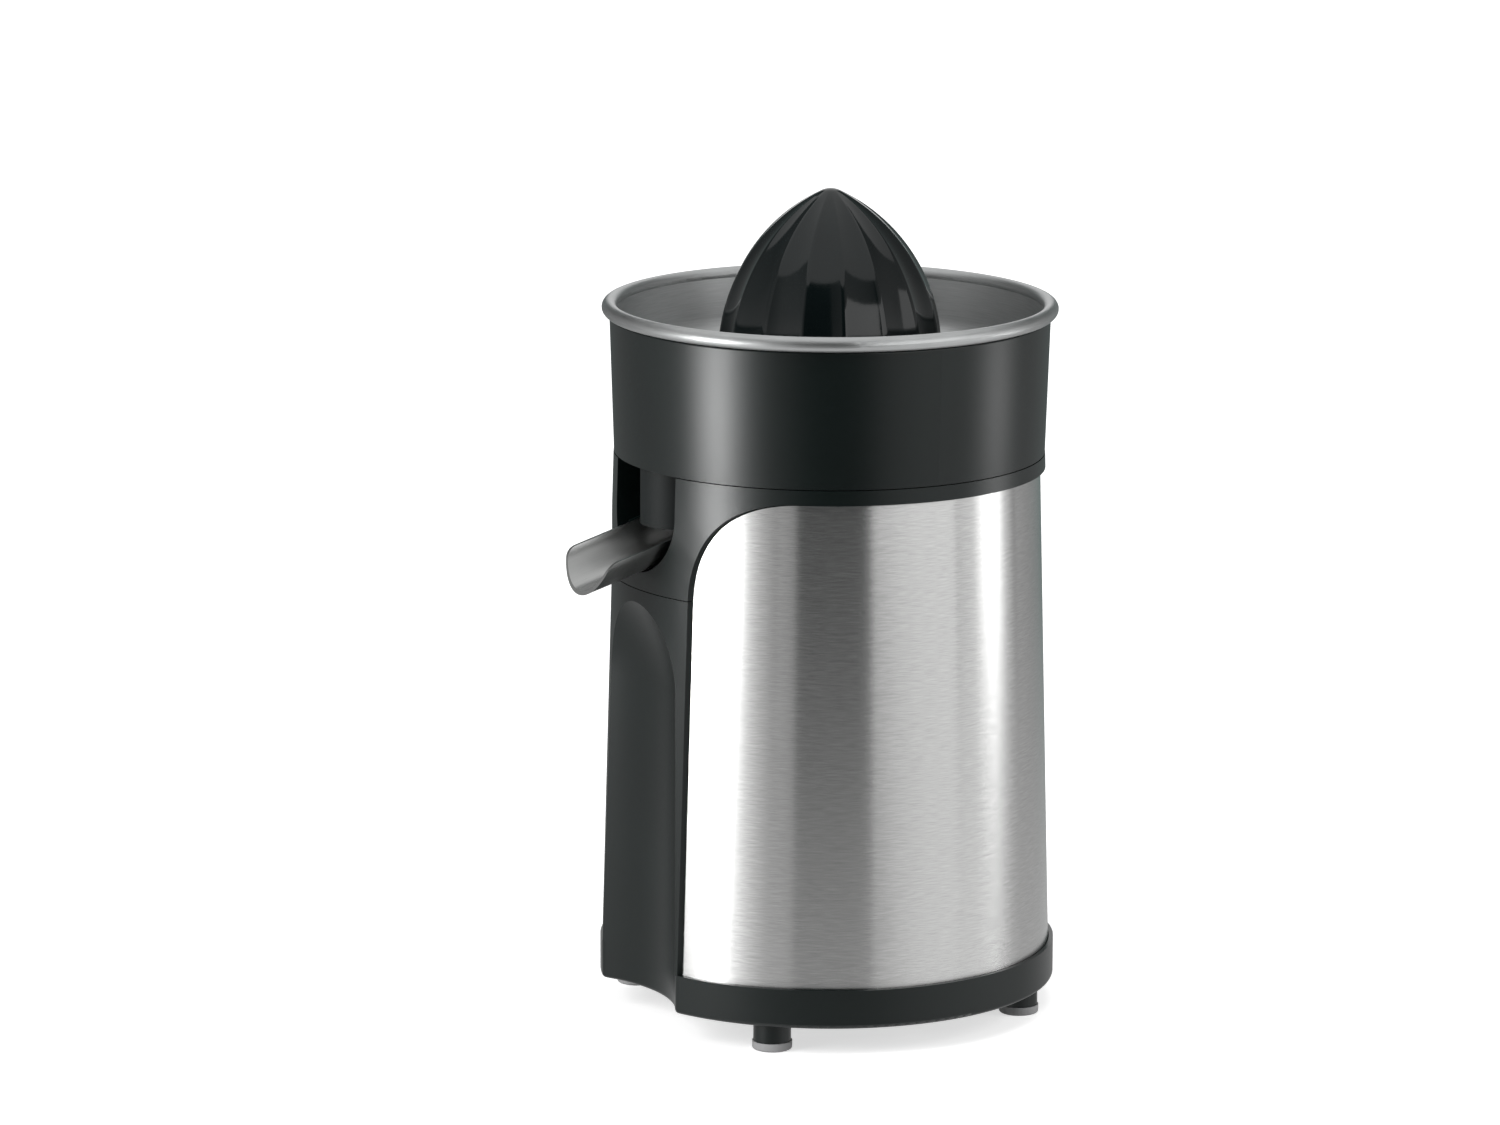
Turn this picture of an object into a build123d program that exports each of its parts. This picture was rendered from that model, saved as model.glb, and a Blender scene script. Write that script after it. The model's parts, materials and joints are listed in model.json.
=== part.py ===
"""Citrus press juicer with a tilting spout, modelled as the separate pieces that it comes apart into.

Units are millimetres. The origin is on the body's axis, on the surface that the juicer stands on.
+Z is up, the spout points towards -Y, and +X is the side to the left of someone facing the spout.
"""

import os
from math import acos, atan, cos, degrees, pi, radians, sin, sqrt, tan

from build123d import *

os.makedirs("parts", exist_ok=True)

# ---------------------------------------------------------------- driving dimensions

# Clearances
seam = 0.3                    # visible seams, and gaps between pieces that lift apart
running = 0.05                # radial clearance of shafts and pins in their bores
press = 0.05                  # radial clearance of bushes, studs and screws in their seats

# Feet
pad_height = 3.0
pad_radius = 7.0
pad_round = 0.8
leg_height = 7.0              # from the pad up to the edge of the base ring
leg_radius = 6.6
leg_stud_radius = 2.5
foot_spacing = 100.0

# Body: a tapered round body, wider at the foot
base_height = 13.8
lower_panel_height = 132.9
shoulder_height = 36.9        # rise of the steel's rounded top corners
ring_height = 5.2             # black ring between the steel and the collar
body_top_radius = 74.2        # outside of the steel at its top edge
body_lean = 1.575             # degrees
panel_proud = 1.8             # how far the black front stands out from the steel
steel_thickness = 0.8
panel_wall = 2.4

# Black column at the front
column_half_width = 28.0
shoulder_width = 32.0
panel_back = 62.0             # distance from the axis to the rear edge of the panel's side walls

# Hollow for the glass
niche_radius = 56.0
niche_depth_radius = 69.0     # distance from the body's axis to the deepest line of the hollow
niche_crown_drop = 4.9        # crown of the arch below the seam between the front panels
notch_corner = 3.0

# Base ring and bottom cover
base_wall = 2.6
base_edge_round = 1.5
ledge_thickness = 2.4
ledge_depth = 3.0             # ledge below the top edge of the base ring
ledge_inner_radius = 54.0
cover_recess = 1.0
cover_thickness = 2.0
cover_screw_circle = 60.0
cover_boss_radius = 4.2
vent_slot_length = 26.0
vent_slot_width = 2.4
vent_pitch = 6.0
vent_rows = 9

# Inner shell
shell_thickness = 2.0
shell_gap = 0.15              # between the shell and the steel
column_circle = 66.0          # screw columns
column_radius = 4.6
column_angles = (35, 145, 215, 325)
rib_depth = 3.0
rib_thickness = 1.6
rib_angles = (-20, 0, 20, 60, 75, 105, 120, 160, 180, 200)

# Screws
screw_radius = 1.5
screw_head_radius = 3.0
screw_head_height = 1.8
screw_length = 12.0
pilot_depth = 14.0

# Deck, tower and spout pocket of the upper housing
deck_thickness = 3.0
tower_height = 15.2           # above the deck
tower_radius = 13.0
tower_foot = 5.5              # below the deck's underside
tower_bore = 7.0
pocket_half_width = 21.2
pocket_centre_drop = 15.0     # centre of the pocket's round bottom, below the deck's top
pocket_back = 39.5            # distance from the axis to the pocket's rear wall
pocket_wall = 2.2

# Spout
spout_slope = 15.9            # degrees below horizontal
spout_radius = 17.6           # outside of the pressed trough
spout_depth = 11.5
spout_sheet = 1.2
spout_rear = 42.0             # distances from the axis
spout_reach = 99.5
spout_tip_drop = 42.2         # underside of the trough at the tip, below the deck's top
spout_corner_back = 4.0       # how far the top corner of the tip lies behind its lower lip
spout_corner_round = 6.0
pivot_distance = 60.0
pivot_drop = 22.8             # below the deck's top
pivot_radius = 2.5
pivot_boss_radius = 5.5
cradle_thickness = 1.9
cradle_front = 70.0
cradle_rear = 50.0

# Juice collector
collar_height = 48.1
collar_foot_radius = 75.7
collar_lean = 1.9             # degrees outwards
collar_wall = 1.8
collar_edge_round = 0.5
tray_slope = 3.0              # degrees down towards the downpipe
tray_thickness = 2.2
tray_rise = 4.0               # tray's underside above the deck at the downpipe
pipe_distance = 60.6
pipe_radius = 13.0
pipe_wall = 2.0
pipe_drop = 20.3              # lower end of the downpipe below the deck's top
chimney_height = 27.0         # above the deck
chimney_wall = 2.0
chimney_gap = 0.6             # round the tower

# Strainer bowl
rim_radius = 77.4             # centre of the rolled rim
rim_tube = 2.6
bowl_sheet = 0.7
bowl_depth = 21.3             # from the centre of the rim to the floor
bowl_floor_radius = 71.5
bowl_cone_radius = 40.0
bowl_corner = 8.0
bowl_hub_rise = 3.2
bowl_hub_radius = 14.0
bowl_hole_radius = 10.5
bowl_bend = 3.0
slot_width = 1.6
outer_slot_length = 12.0
outer_slot_circle = 55.0
outer_slot_count = 36
inner_slot_length = 9.0
inner_slot_circle = 40.0
inner_slot_count = 24

# Reamer
reamer_seat = 37.2            # foot of the reamer above the deck
reamer_arc_radius = 63.8      # its flank is one arc of this radius
reamer_arc_offset = 24.3      # centre of that arc beyond the axis
reamer_arc_drop = 2.6         # and below the reamer's foot
reamer_rim_width = 1.0
reamer_rim_height = 1.8
reamer_tip_round = 8.0
reamer_wall = 2.6
flute_count = 16
flute_radius = 14.0
flute_depth = 0.9
flute_rise = 1.2              # lifts the flutes' centre so that they fade out towards the tip
flute_arc = 56                # degrees, just past where they fade out
reamer_hub_radius = 8.0
reamer_rib_count = 8
reamer_rib_thickness = 1.4

# Spindle and its bearing
spindle_radius = 6.0
spindle_drive_flats = 10.0    # across flats, in the output gear
spindle_top_flats = 9.0       # across flats, in the reamer
spindle_top_length = 26.0
spindle_drive_length = 26.0   # below the thrust washer
spindle_chamfer = 1.0
socket_gap = 0.1              # across each pair of flats
press_travel = 3.0
washer_radius = 13.0
washer_thickness = 2.0
spring_length = 12.0
spring_radius = 7.9
spring_wire_width = 1.6
spring_wire_height = 1.2
spring_turns = 4
bush_radius = 9.0
bush_length = 12.0
seal_height = 3.0
seal_lip = 0.8

# Gears
gear_module = 1.0
wheel_teeth = 48
pinion_teeth = 12
pressure_angle = 20.0
backlash = 0.1                # taken off each tooth
wheel_addendum = 0.75
pinion_addendum = 0.9
dedendum = 1.15
gear_face = 8.0
gear_gap = 1.0                # between the two stages
wheel_rim = 3.0
wheel_web = 3.0
wheel_boss = 1.5
pinion_overhang = 1.0
gear_hub_radius = 9.0
gear_hub_rise = 10.0          # of the output gear's hub above its teeth
axle_radius = 3.0

# Gear case and cover
case_wall = 2.0
case_floor = 3.0
case_margin = 2.0             # between the wheels and the wall, the floor and the cover
case_flange_radius = 41.0
lug_radius = 5.0
lug_thickness = 3.0
lug_reach = 34.0              # of the lugs from the gears' plane
lug_front = -6.0
lug_rear = 36.0
lug_boss_radius = 4.6
gear_cover_thickness = 3.0
output_bush_wall = 3.0
output_bush_length = 7.8
ring_thickness = 1.0
ring_width = 3.0
grommet_height = 3.0
grommet_radius = 4.6

# Motor
stack_radius = 40.0
stack_height = 30.0
stack_yoke = 8.0
pole_width = 12.0
rotor_radius = 15.0
air_gap = 0.5
coil_width = 5.0
coil_gap = 0.4
coil_inner = 19.5             # distances of the coils' ends from the axis
coil_outer = 29.5
cage_radius = 14.0
cage_height = 3.0
motor_drop = 18.5             # from the underside of the gear case to the stator
motor_screw_circle = 36.0
motor_post_radius = 3.8
bracket_thickness = 3.0
bracket_drop = 12.0           # bracket below the stator
motor_bush_radius = 6.0
motor_bush_length = 8.0
shaft_radius = 3.0
fan_radius = 26.0
fan_hub_radius = 7.0
fan_height = 14.0
fan_blades = 8
fan_gap = 5.0
fan_blade_thickness = 1.4
fan_plate = 1.5

# Switch
lever_pivot_distance = 24.0   # behind the spindle
lever_pivot_drop = 8.0        # below the thrust washer's underside
lever_width = 5.0
lever_finger = 11.5           # distance of the finger from the spindle's axis
lever_outer = 11.0            # arm behind the pivot
lever_pin_radius = 1.5
lever_hub_radius = 3.2
ear_thickness = 2.0
lever_tip_radius = 1.5
lever_finger_rise = 6.2       # above the pivot
lever_outer_rise = 1.5
ear_radius = 3.2
switch_length = 20.0
switch_width = 6.4
button_height = 1.0
button_width = 2.4
terminal_height = 3.0
terminal_width = 1.4

# Mains entry
inlet_height = 34.0           # of the cord inlet above the base ring's bottom
inlet_bore = 3.6
inlet_neck = 5.0
inlet_flange = 7.5
inlet_flange_thickness = 2.5
inlet_lip = 6.0
inlet_lip_length = 1.5
block_length = 24.0
block_width = 12.0
block_height = 11.0
block_distance = 64.0

# ---------------------------------------------------------------- levels and shared sizes

base_bottom = pad_height + leg_height
base_top = base_bottom + base_height
ledge_top = base_top - ledge_depth
ledge_bottom = ledge_top - ledge_thickness
cover_bottom = base_bottom + cover_recess
cover_top = cover_bottom + cover_thickness
panel_seam = base_top + lower_panel_height
ring_bottom = panel_seam + shoulder_height
deck_top = ring_bottom + ring_height
deck_bottom = deck_top - deck_thickness
tower_top = deck_top + tower_height
collar_bottom = deck_top + seam
collar_top = deck_top + collar_height


def body_radius(height):
    """Outside radius of the steel at a height."""
    return body_top_radius + (ring_bottom - height) * tan(radians(body_lean))


def panel_radius(height):
    """Outside radius of the black front at a height."""
    return body_radius(height) + panel_proud


def shell_radius(height):
    """Outside radius of the inner shell at a height."""
    return body_radius(height) - steel_thickness - shell_gap


base_radius = panel_radius(base_top)
lip_thickness = panel_proud - seam
niche_axis = niche_depth_radius + niche_radius


def tapered_wall(radius_at, low, high, thickness):
    """Half section of a tapered wall between two heights, for a revolve about Z."""
    with BuildSketch(Plane.XZ, mode=Mode.PRIVATE) as section:
        with BuildLine():
            Polyline(
                (radius_at(low) - thickness, low),
                (radius_at(low), low),
                (radius_at(high), high),
                (radius_at(high) - thickness, high),
                close=True,
            )
        make_face()
    return section.sketch


def tapered_solid(radius_at, low, high):
    """Half section of a solid tapered body between two heights."""
    with BuildSketch(Plane.XZ, mode=Mode.PRIVATE) as section:
        with BuildLine():
            Polyline((0, low), (radius_at(low), low), (radius_at(high), high), (0, high), close=True)
        make_face()
    return section.sketch


def column_outline(margin, low):
    """Front outline of the black column up to its shoulders, grown outwards by a margin."""
    half = column_half_width + margin
    corner = column_half_width + shoulder_width
    with BuildSketch(Plane.XZ, mode=Mode.PRIVATE) as outline:
        with BuildLine():
            Polyline((0, low), (half, low), (half, panel_seam))
            EllipticalCenterArc(
                (corner, panel_seam),
                shoulder_width - margin,
                shoulder_height - margin,
                start_angle=180,
                arc_size=-90,
            )
            Polyline((corner, ring_bottom - margin), (0, ring_bottom - margin), (0, low))
        make_face()
        mirror(about=Plane.YZ)
    return outline.sketch


def base_outline(inset, height):
    """Round outline of the base with the hollow for the glass, moved inwards by an inset."""
    with BuildSketch(Plane.XY.offset(height), mode=Mode.PRIVATE) as outline:
        Circle(base_radius - inset)
        with Locations((0, -niche_axis)):
            Circle(niche_radius + inset, mode=Mode.SUBTRACT)
        fillet(outline.vertices(), notch_corner)
    return outline.sketch

# ---------------------------------------------------------------- feet

with BuildPart() as foot_pads:
    with BuildSketch():
        with GridLocations(foot_spacing, foot_spacing, 2, 2):
            Circle(pad_radius)
    extrude(amount=pad_height)
    fillet(foot_pads.edges().group_by(Axis.Z)[0], pad_round)
foot_pads.part.label = "foot_pads"
export_step(foot_pads.part, "parts/foot_pads.step")

with BuildPart() as foot_legs:
    with BuildSketch(Plane.XY.offset(pad_height)):
        with GridLocations(foot_spacing, foot_spacing, 2, 2):
            Circle(leg_radius)
    extrude(amount=cover_bottom - pad_height)
    with BuildSketch(Plane.XY.offset(cover_bottom)):
        with GridLocations(foot_spacing, foot_spacing, 2, 2):
            Circle(leg_stud_radius)
    extrude(amount=cover_thickness)
foot_legs.part.label = "foot_legs"
export_step(foot_legs.part, "parts/foot_legs.step")

# ---------------------------------------------------------------- bottom cover


with BuildPart() as bottom_cover:
    extrude(base_outline(base_wall + seam, cover_bottom), amount=cover_thickness)
    with BuildSketch(Plane.XY.offset(cover_bottom)):
        with GridLocations(0, vent_pitch, 1, vent_rows):
            SlotOverall(vent_slot_length, vent_slot_width)
        with GridLocations(foot_spacing, foot_spacing, 2, 2):
            Circle(leg_stud_radius + press)
        with PolarLocations(cover_screw_circle, 4):
            Circle(screw_radius + press)
    extrude(amount=cover_thickness, mode=Mode.SUBTRACT)
    with BuildSketch(Plane.XY.offset(cover_bottom)):
        with PolarLocations(cover_screw_circle, 4):
            Circle(screw_head_radius + press)
    extrude(amount=screw_head_height / 2, mode=Mode.SUBTRACT)
bottom_cover.part.label = "bottom_cover"
export_step(bottom_cover.part, "parts/bottom_cover.step")

# ---------------------------------------------------------------- base ring

with BuildPart() as base_ring:
    extrude(base_outline(0, base_bottom), amount=base_height)
    fillet(base_ring.edges().group_by(Axis.Z)[0], base_edge_round)
    extrude(base_outline(base_wall, base_bottom), amount=ledge_bottom - base_bottom, mode=Mode.SUBTRACT)
    extrude(base_outline(lip_thickness, ledge_top), amount=ledge_depth, mode=Mode.SUBTRACT)
    with BuildSketch(Plane.XY.offset(ledge_bottom)):
        Circle(ledge_inner_radius)
    extrude(amount=ledge_thickness, mode=Mode.SUBTRACT)
    with BuildSketch(Plane.XY.offset(cover_top)):
        with PolarLocations(cover_screw_circle, 4):
            Circle(cover_boss_radius)
    extrude(amount=ledge_bottom - cover_top)
    with BuildSketch(Plane.XY.offset(cover_top)):
        with PolarLocations(cover_screw_circle, 4):
            Circle(screw_radius + press)
        for angle in column_angles:
            with PolarLocations(column_circle, 1, start_angle=angle):
                Circle(screw_radius + press)
    extrude(amount=ledge_top - cover_top, mode=Mode.SUBTRACT)
base_ring.part.label = "base_ring"
export_step(base_ring.part, "parts/base_ring.step")

# ---------------------------------------------------------------- steel wrap

inlet_level = base_bottom + inlet_height
inlet_axis = Plane(origin=(0, 0, inlet_level), x_dir=(1, 0, 0), z_dir=(0, 1, 0))

with BuildPart() as steel_wrap:
    revolve(tapered_wall(body_radius, ledge_top, ring_bottom - seam, steel_thickness))
    extrude(column_outline(seam, base_bottom), amount=base_radius, mode=Mode.SUBTRACT)
    with BuildSketch(inlet_axis):
        Circle(inlet_neck + press)
    extrude(amount=base_radius, mode=Mode.SUBTRACT)
steel_wrap.part.label = "steel_wrap"
export_step(steel_wrap.part, "parts/steel_wrap.step")

# ---------------------------------------------------------------- inner shell

rib_circle = shell_radius(deck_bottom) - shell_thickness - rib_depth

with BuildPart() as rib_envelope:
    revolve(tapered_solid(lambda height: shell_radius(height) - shell_thickness / 2, ledge_top, deck_bottom))

with BuildPart() as inner_shell:
    with BuildSketch(Plane.XY.offset(ledge_top)):
        for angle in column_angles:
            with PolarLocations(column_circle, 1, start_angle=angle):
                Circle(column_radius)
            with PolarLocations(column_circle, 1, start_angle=angle):
                Rectangle(base_radius, rib_thickness, align=(Align.MIN, Align.CENTER))
        for angle in rib_angles:
            with PolarLocations(rib_circle, 1, start_angle=angle):
                Rectangle(base_radius, rib_thickness, align=(Align.MIN, Align.CENTER))
    extrude(amount=deck_bottom - ledge_top)
    add(rib_envelope.part, mode=Mode.INTERSECT)
    revolve(tapered_wall(shell_radius, ledge_top, deck_bottom, shell_thickness))
    extrude(column_outline(seam, base_bottom), amount=base_radius, mode=Mode.SUBTRACT)
    with BuildSketch(Plane.XZ):
        with Locations((0, (ledge_top + deck_bottom) / 2)):
            Rectangle(2 * (column_half_width + seam), deck_bottom - ledge_top)
    extrude(amount=base_radius, mode=Mode.SUBTRACT)
    for level, depth in ((ledge_top, pilot_depth), (deck_bottom, -pilot_depth)):
        with BuildSketch(Plane.XY.offset(level)):
            for angle in column_angles:
                with PolarLocations(column_circle, 1, start_angle=angle):
                    Circle(screw_radius + press)
        extrude(amount=depth, mode=Mode.SUBTRACT)
    with BuildSketch(inlet_axis):
        Circle(inlet_neck + press)
    extrude(amount=base_radius, mode=Mode.SUBTRACT)
inner_shell.part.label = "inner_shell"
export_step(inner_shell.part, "parts/inner_shell.step")

# ---------------------------------------------------------------- lower front panel

niche_crown = panel_seam - niche_crown_drop
crown_reach = niche_axis - panel_radius(niche_crown)
niche_spring = niche_crown - sqrt(niche_radius**2 - crown_reach**2)


def glass_hollow(wall):
    """Half section of the glass hollow, a cylinder with a domed top, thinned by a wall."""
    with BuildSketch(Plane.XZ, mode=Mode.PRIVATE) as section:
        with BuildLine():
            radius = niche_radius - wall
            Polyline((0, niche_spring), (0, base_bottom), (radius, base_bottom), (radius, niche_spring))
            CenterArc((0, niche_spring), radius, 0, 90)
            Line((0, niche_spring + radius), (0, niche_spring))
        make_face()
    return section.sketch


def panel_blank(inset, high):
    """Solid block of the front panel with the hollow for the glass, moved inwards by an inset."""
    with BuildPart() as hollow:
        revolve(glass_hollow(-inset))
    with BuildPart() as block:
        revolve(tapered_solid(lambda height: panel_radius(height) - inset, base_top, high))
        with BuildSketch(Plane.XZ.offset(panel_back - inset)):
            with Locations((0, (base_top + high) / 2)):
                Rectangle(2 * (column_half_width - inset), high - base_top)
        extrude(amount=base_radius - panel_back + inset, mode=Mode.INTERSECT)
        with Locations((0, -niche_axis, 0)):
            add(hollow.part, mode=Mode.SUBTRACT)
    return block.part


panel_cavity = panel_blank(panel_wall, panel_seam - panel_wall)
panel_block = panel_blank(0, panel_seam - seam)

with BuildPart() as lower_front_panel:
    add(panel_block)
    add(panel_cavity, mode=Mode.SUBTRACT)
lower_front_panel.part.label = "lower_front_panel"
export_step(lower_front_panel.part, "parts/lower_front_panel.step")

# ---------------------------------------------------------------- levels of the drive, from the deck down

tower_bottom = deck_bottom - tower_foot
washer_top = tower_bottom - seam
washer_bottom = washer_top - washer_thickness
hub_top = washer_bottom - spring_length
output_top = hub_top - gear_hub_rise
output_bottom = output_top - gear_face
idler_top = output_bottom - wheel_boss - gear_gap
idler_bottom = idler_top - gear_face
case_floor_top = idler_bottom - case_margin
case_floor_bottom = case_floor_top - case_floor
gear_cover_bottom = output_top + case_margin
gear_cover_top = gear_cover_bottom + gear_cover_thickness
grommet_top = gear_cover_top + grommet_height
stack_top = case_floor_bottom - motor_drop
stack_bottom = stack_top - stack_height
bracket_top = stack_bottom - bracket_drop
bracket_bottom = bracket_top - bracket_thickness
fan_top = bracket_bottom - fan_gap
fan_bottom = fan_top - fan_height
gear_centres = gear_module * (wheel_teeth + pinion_teeth) / 2
lug_spots = [(x, y) for x in (-lug_reach, lug_reach) for y in (lug_front, lug_rear)]

# ---------------------------------------------------------------- upper housing

pocket_centre = deck_top - pocket_centre_drop
pivot_level = deck_top - pivot_drop
pivot_axis = Plane(origin=(0, -pivot_distance, pivot_level), x_dir=(0, 1, 0), z_dir=(1, 0, 0))


def pocket_outline(margin, back, high):
    """Round-bottomed outline of the spout pocket, grown outwards, on a plane across its rear."""
    half = pocket_half_width + margin
    with BuildSketch(Plane.XZ.offset(back), mode=Mode.PRIVATE) as outline:
        with Locations((0, pocket_centre)):
            Circle(half)
        with Locations((0, (pocket_centre + high) / 2)):
            Rectangle(2 * half, high - pocket_centre)
    return outline.sketch


with BuildPart() as front_envelope:
    revolve(tapered_solid(panel_radius, panel_seam, deck_top))

with BuildPart() as housing_hollow:
    revolve(tapered_solid(lambda height: panel_radius(height) - panel_wall, panel_seam, deck_bottom))

with BuildPart() as spout_pocket:
    extrude(pocket_outline(pocket_wall, pocket_back - pocket_wall, deck_bottom), amount=base_radius)
    with BuildSketch(pivot_axis):
        Circle(pivot_boss_radius)
    extrude(amount=pocket_half_width + pocket_wall + seam, both=True)
    add(front_envelope.part, mode=Mode.INTERSECT)

with BuildPart() as side_walls:
    with BuildSketch(Plane.XY.offset(panel_seam)):
        with Locations((column_half_width - panel_wall / 2, 0), (-column_half_width + panel_wall / 2, 0)):
            Rectangle(panel_wall, 2 * base_radius)
    extrude(amount=ring_bottom - panel_seam)
    with BuildSketch(Plane.XZ.offset(panel_back)):
        with Locations((0, panel_seam)):
            Rectangle(2 * column_half_width, 2 * shoulder_height)
    extrude(amount=base_radius, mode=Mode.INTERSECT)
    add(front_envelope.part, mode=Mode.INTERSECT)

with BuildPart() as upper_housing:
    add(front_envelope.part)
    extrude(column_outline(0, base_bottom), amount=base_radius, mode=Mode.INTERSECT)
    revolve(tapered_solid(panel_radius, ring_bottom, deck_top))
    add(housing_hollow.part, mode=Mode.SUBTRACT)
    add(side_walls.part)
    add(spout_pocket.part)
    extrude(pocket_outline(0, pocket_back, deck_top), amount=base_radius, mode=Mode.SUBTRACT)
    with BuildSketch(pivot_axis):
        Circle(pivot_radius + running)
    extrude(amount=base_radius, both=True, mode=Mode.SUBTRACT)
    with BuildSketch(Plane.XY.offset(tower_bottom)):
        Circle(tower_radius)
    extrude(amount=tower_top - tower_bottom)
    with BuildSketch(Plane.XY.offset(grommet_top)):
        with Locations(lug_spots):
            Circle(lug_boss_radius)
    extrude(amount=deck_bottom - grommet_top)
    with BuildSketch(Plane.XY.offset(grommet_top)):
        with Locations(lug_spots):
            Circle(screw_radius + press)
    extrude(amount=pilot_depth, mode=Mode.SUBTRACT)
    with BuildSketch(Plane.XY.offset(tower_bottom)):
        Circle(tower_bore)
    extrude(amount=tower_top - tower_bottom, mode=Mode.SUBTRACT)
    with BuildSketch(Plane.XY.offset(tower_top)):
        Circle(bush_radius + press)
    extrude(amount=-(bush_length + seal_height), mode=Mode.SUBTRACT)
    for radius, depth in ((screw_radius, deck_thickness), (screw_head_radius, screw_head_height)):
        with BuildSketch(Plane.XY.offset(deck_top)):
            for angle in column_angles:
                with PolarLocations(column_circle, 1, start_angle=angle):
                    Circle(radius + press)
        extrude(amount=-depth, mode=Mode.SUBTRACT)
upper_housing.part.label = "upper_housing"
export_step(upper_housing.part, "parts/upper_housing.step")

# ---------------------------------------------------------------- spout and its cradle

spout_tip = Vector(0, -spout_reach, deck_top - spout_tip_drop)
spout_length = (spout_reach - spout_rear) / cos(radians(spout_slope))
spout_direction = Vector(0, -cos(radians(spout_slope)), -sin(radians(spout_slope)))
trough_rear = spout_tip - spout_direction * spout_length
trough_end = Plane(origin=trough_rear, x_dir=(1, 0, 0), z_dir=spout_direction)


def trough_section(outer, inner, depth, plane):
    """Round sheet section of the trough, open at the top."""
    with BuildSketch(plane, mode=Mode.PRIVATE) as section:
        with Locations((0, spout_radius)):
            Circle(outer)
            if inner:
                Circle(inner, mode=Mode.SUBTRACT)
        with Locations((0, depth)):
            Rectangle(4 * spout_radius, 2 * spout_radius, align=(Align.CENTER, Align.MIN), mode=Mode.SUBTRACT)
    return section.sketch


def trough_point(distance, height):
    """Point in the spout's middle plane, at a distance from the axis and a height above the trough."""
    rise = height / cos(radians(spout_slope)) + (spout_reach - distance) * tan(radians(spout_slope))
    return (-distance, spout_tip.Z + rise)


with BuildPart() as spout:
    extrude(
        trough_section(spout_radius, spout_radius - spout_sheet, spout_radius, trough_end),
        amount=spout_length,
    )
    extrude(trough_section(spout_radius, 0, spout_radius, trough_end), amount=spout_sheet)
    with BuildSketch(Plane.YZ.offset(-2 * spout_radius)):
        with BuildLine():
            edge = FilletPolyline(
                trough_point(spout_rear - spout_depth, 0),
                trough_point(spout_rear - spout_depth, spout_depth),
                trough_point(spout_reach - spout_corner_back, spout_depth),
                trough_point(spout_reach, 0),
                trough_point(spout_reach, -spout_depth),
                radius=[0, spout_corner_round, 0],
            )
            Line(edge @ 1, edge @ 0)
        make_face()
    extrude(amount=4 * spout_radius, mode=Mode.INTERSECT)
spout.part.label = "spout"
export_step(spout.part, "parts/spout.step")

with BuildPart() as spout_cradle:
    extrude(
        trough_section(spout_radius + cradle_thickness, spout_radius + press, spout_depth, trough_end),
        amount=spout_length,
    )
    with BuildSketch(Plane.XZ.offset(cradle_rear)):
        with Locations((0, deck_top)):
            Rectangle(4 * spout_radius, 8 * spout_radius)
    extrude(amount=cradle_front - cradle_rear, mode=Mode.INTERSECT)
    for side in (-1, 1):
        with BuildSketch(pivot_axis.offset(side * (spout_radius - cradle_thickness))):
            Circle(pivot_radius)
        extrude(amount=side * (pocket_half_width + pocket_wall - spout_radius + cradle_thickness))
    extrude(
        trough_section(spout_radius + press, 0, spout_radius, trough_end),
        amount=spout_length,
        mode=Mode.SUBTRACT,
    )
spout_cradle.part.label = "spout_cradle"
export_step(spout_cradle.part, "parts/spout_cradle.step")

# ---------------------------------------------------------------- juice collector

tray_level = deck_top + tray_rise
tray_normal = (0, -sin(radians(tray_slope)), cos(radians(tray_slope)))
tray_underside = Plane(origin=(0, -pipe_distance, tray_level), x_dir=(1, 0, 0), z_dir=tray_normal)
chimney_radius = tower_radius + chimney_gap + chimney_wall


def collar_radius(height):
    """Outside radius of the collar at a height."""
    return collar_foot_radius + (height - collar_bottom) * tan(radians(collar_lean))


with BuildPart() as juice_collector:
    revolve(tapered_wall(collar_radius, collar_bottom, collar_top, collar_wall))
    fillet(juice_collector.edges().group_by(Axis.Z)[-1], collar_edge_round)
juice_collector.part.label = "juice_collector"
export_step(juice_collector.part, "parts/juice_collector.step")

with BuildPart() as tray_envelope:
    revolve(
        tapered_solid(lambda height: collar_radius(height) - collar_wall - press, collar_bottom, collar_top)
    )

with BuildPart() as collector_tray:
    with BuildSketch(tray_underside):
        Circle(3 * collar_foot_radius)
    extrude(amount=tray_thickness)
    add(tray_envelope.part, mode=Mode.INTERSECT)
    with BuildSketch(Plane.XY.offset(collar_bottom)):
        Circle(chimney_radius + press)
        with Locations((0, -pipe_distance)):
            Circle(pipe_radius + press)
    extrude(amount=chimney_height, mode=Mode.SUBTRACT)
collector_tray.part.label = "collector_tray"
export_step(collector_tray.part, "parts/collector_tray.step")

with BuildPart() as collector_chimney:
    with BuildSketch(Plane.XY.offset(collar_bottom)):
        Circle(chimney_radius)
        Circle(chimney_radius - chimney_wall, mode=Mode.SUBTRACT)
    extrude(amount=chimney_height)
    fillet(collector_chimney.edges().group_by(Axis.Z)[-1], collar_edge_round)
collector_chimney.part.label = "collector_chimney"
export_step(collector_chimney.part, "parts/collector_chimney.step")

with BuildPart() as collector_pipe:
    with BuildSketch(Plane.XY.offset(deck_top - pipe_drop)):
        with Locations((0, -pipe_distance)):
            Circle(pipe_radius)
            Circle(pipe_radius - pipe_wall, mode=Mode.SUBTRACT)
    extrude(amount=pipe_drop + tray_rise + tray_thickness / 2)
collector_pipe.part.label = "collector_pipe"
export_step(collector_pipe.part, "parts/collector_pipe.step")

# ---------------------------------------------------------------- strainer bowl

rim_level = collar_top + seam + rim_tube
bowl_floor = rim_level - bowl_depth

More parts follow.
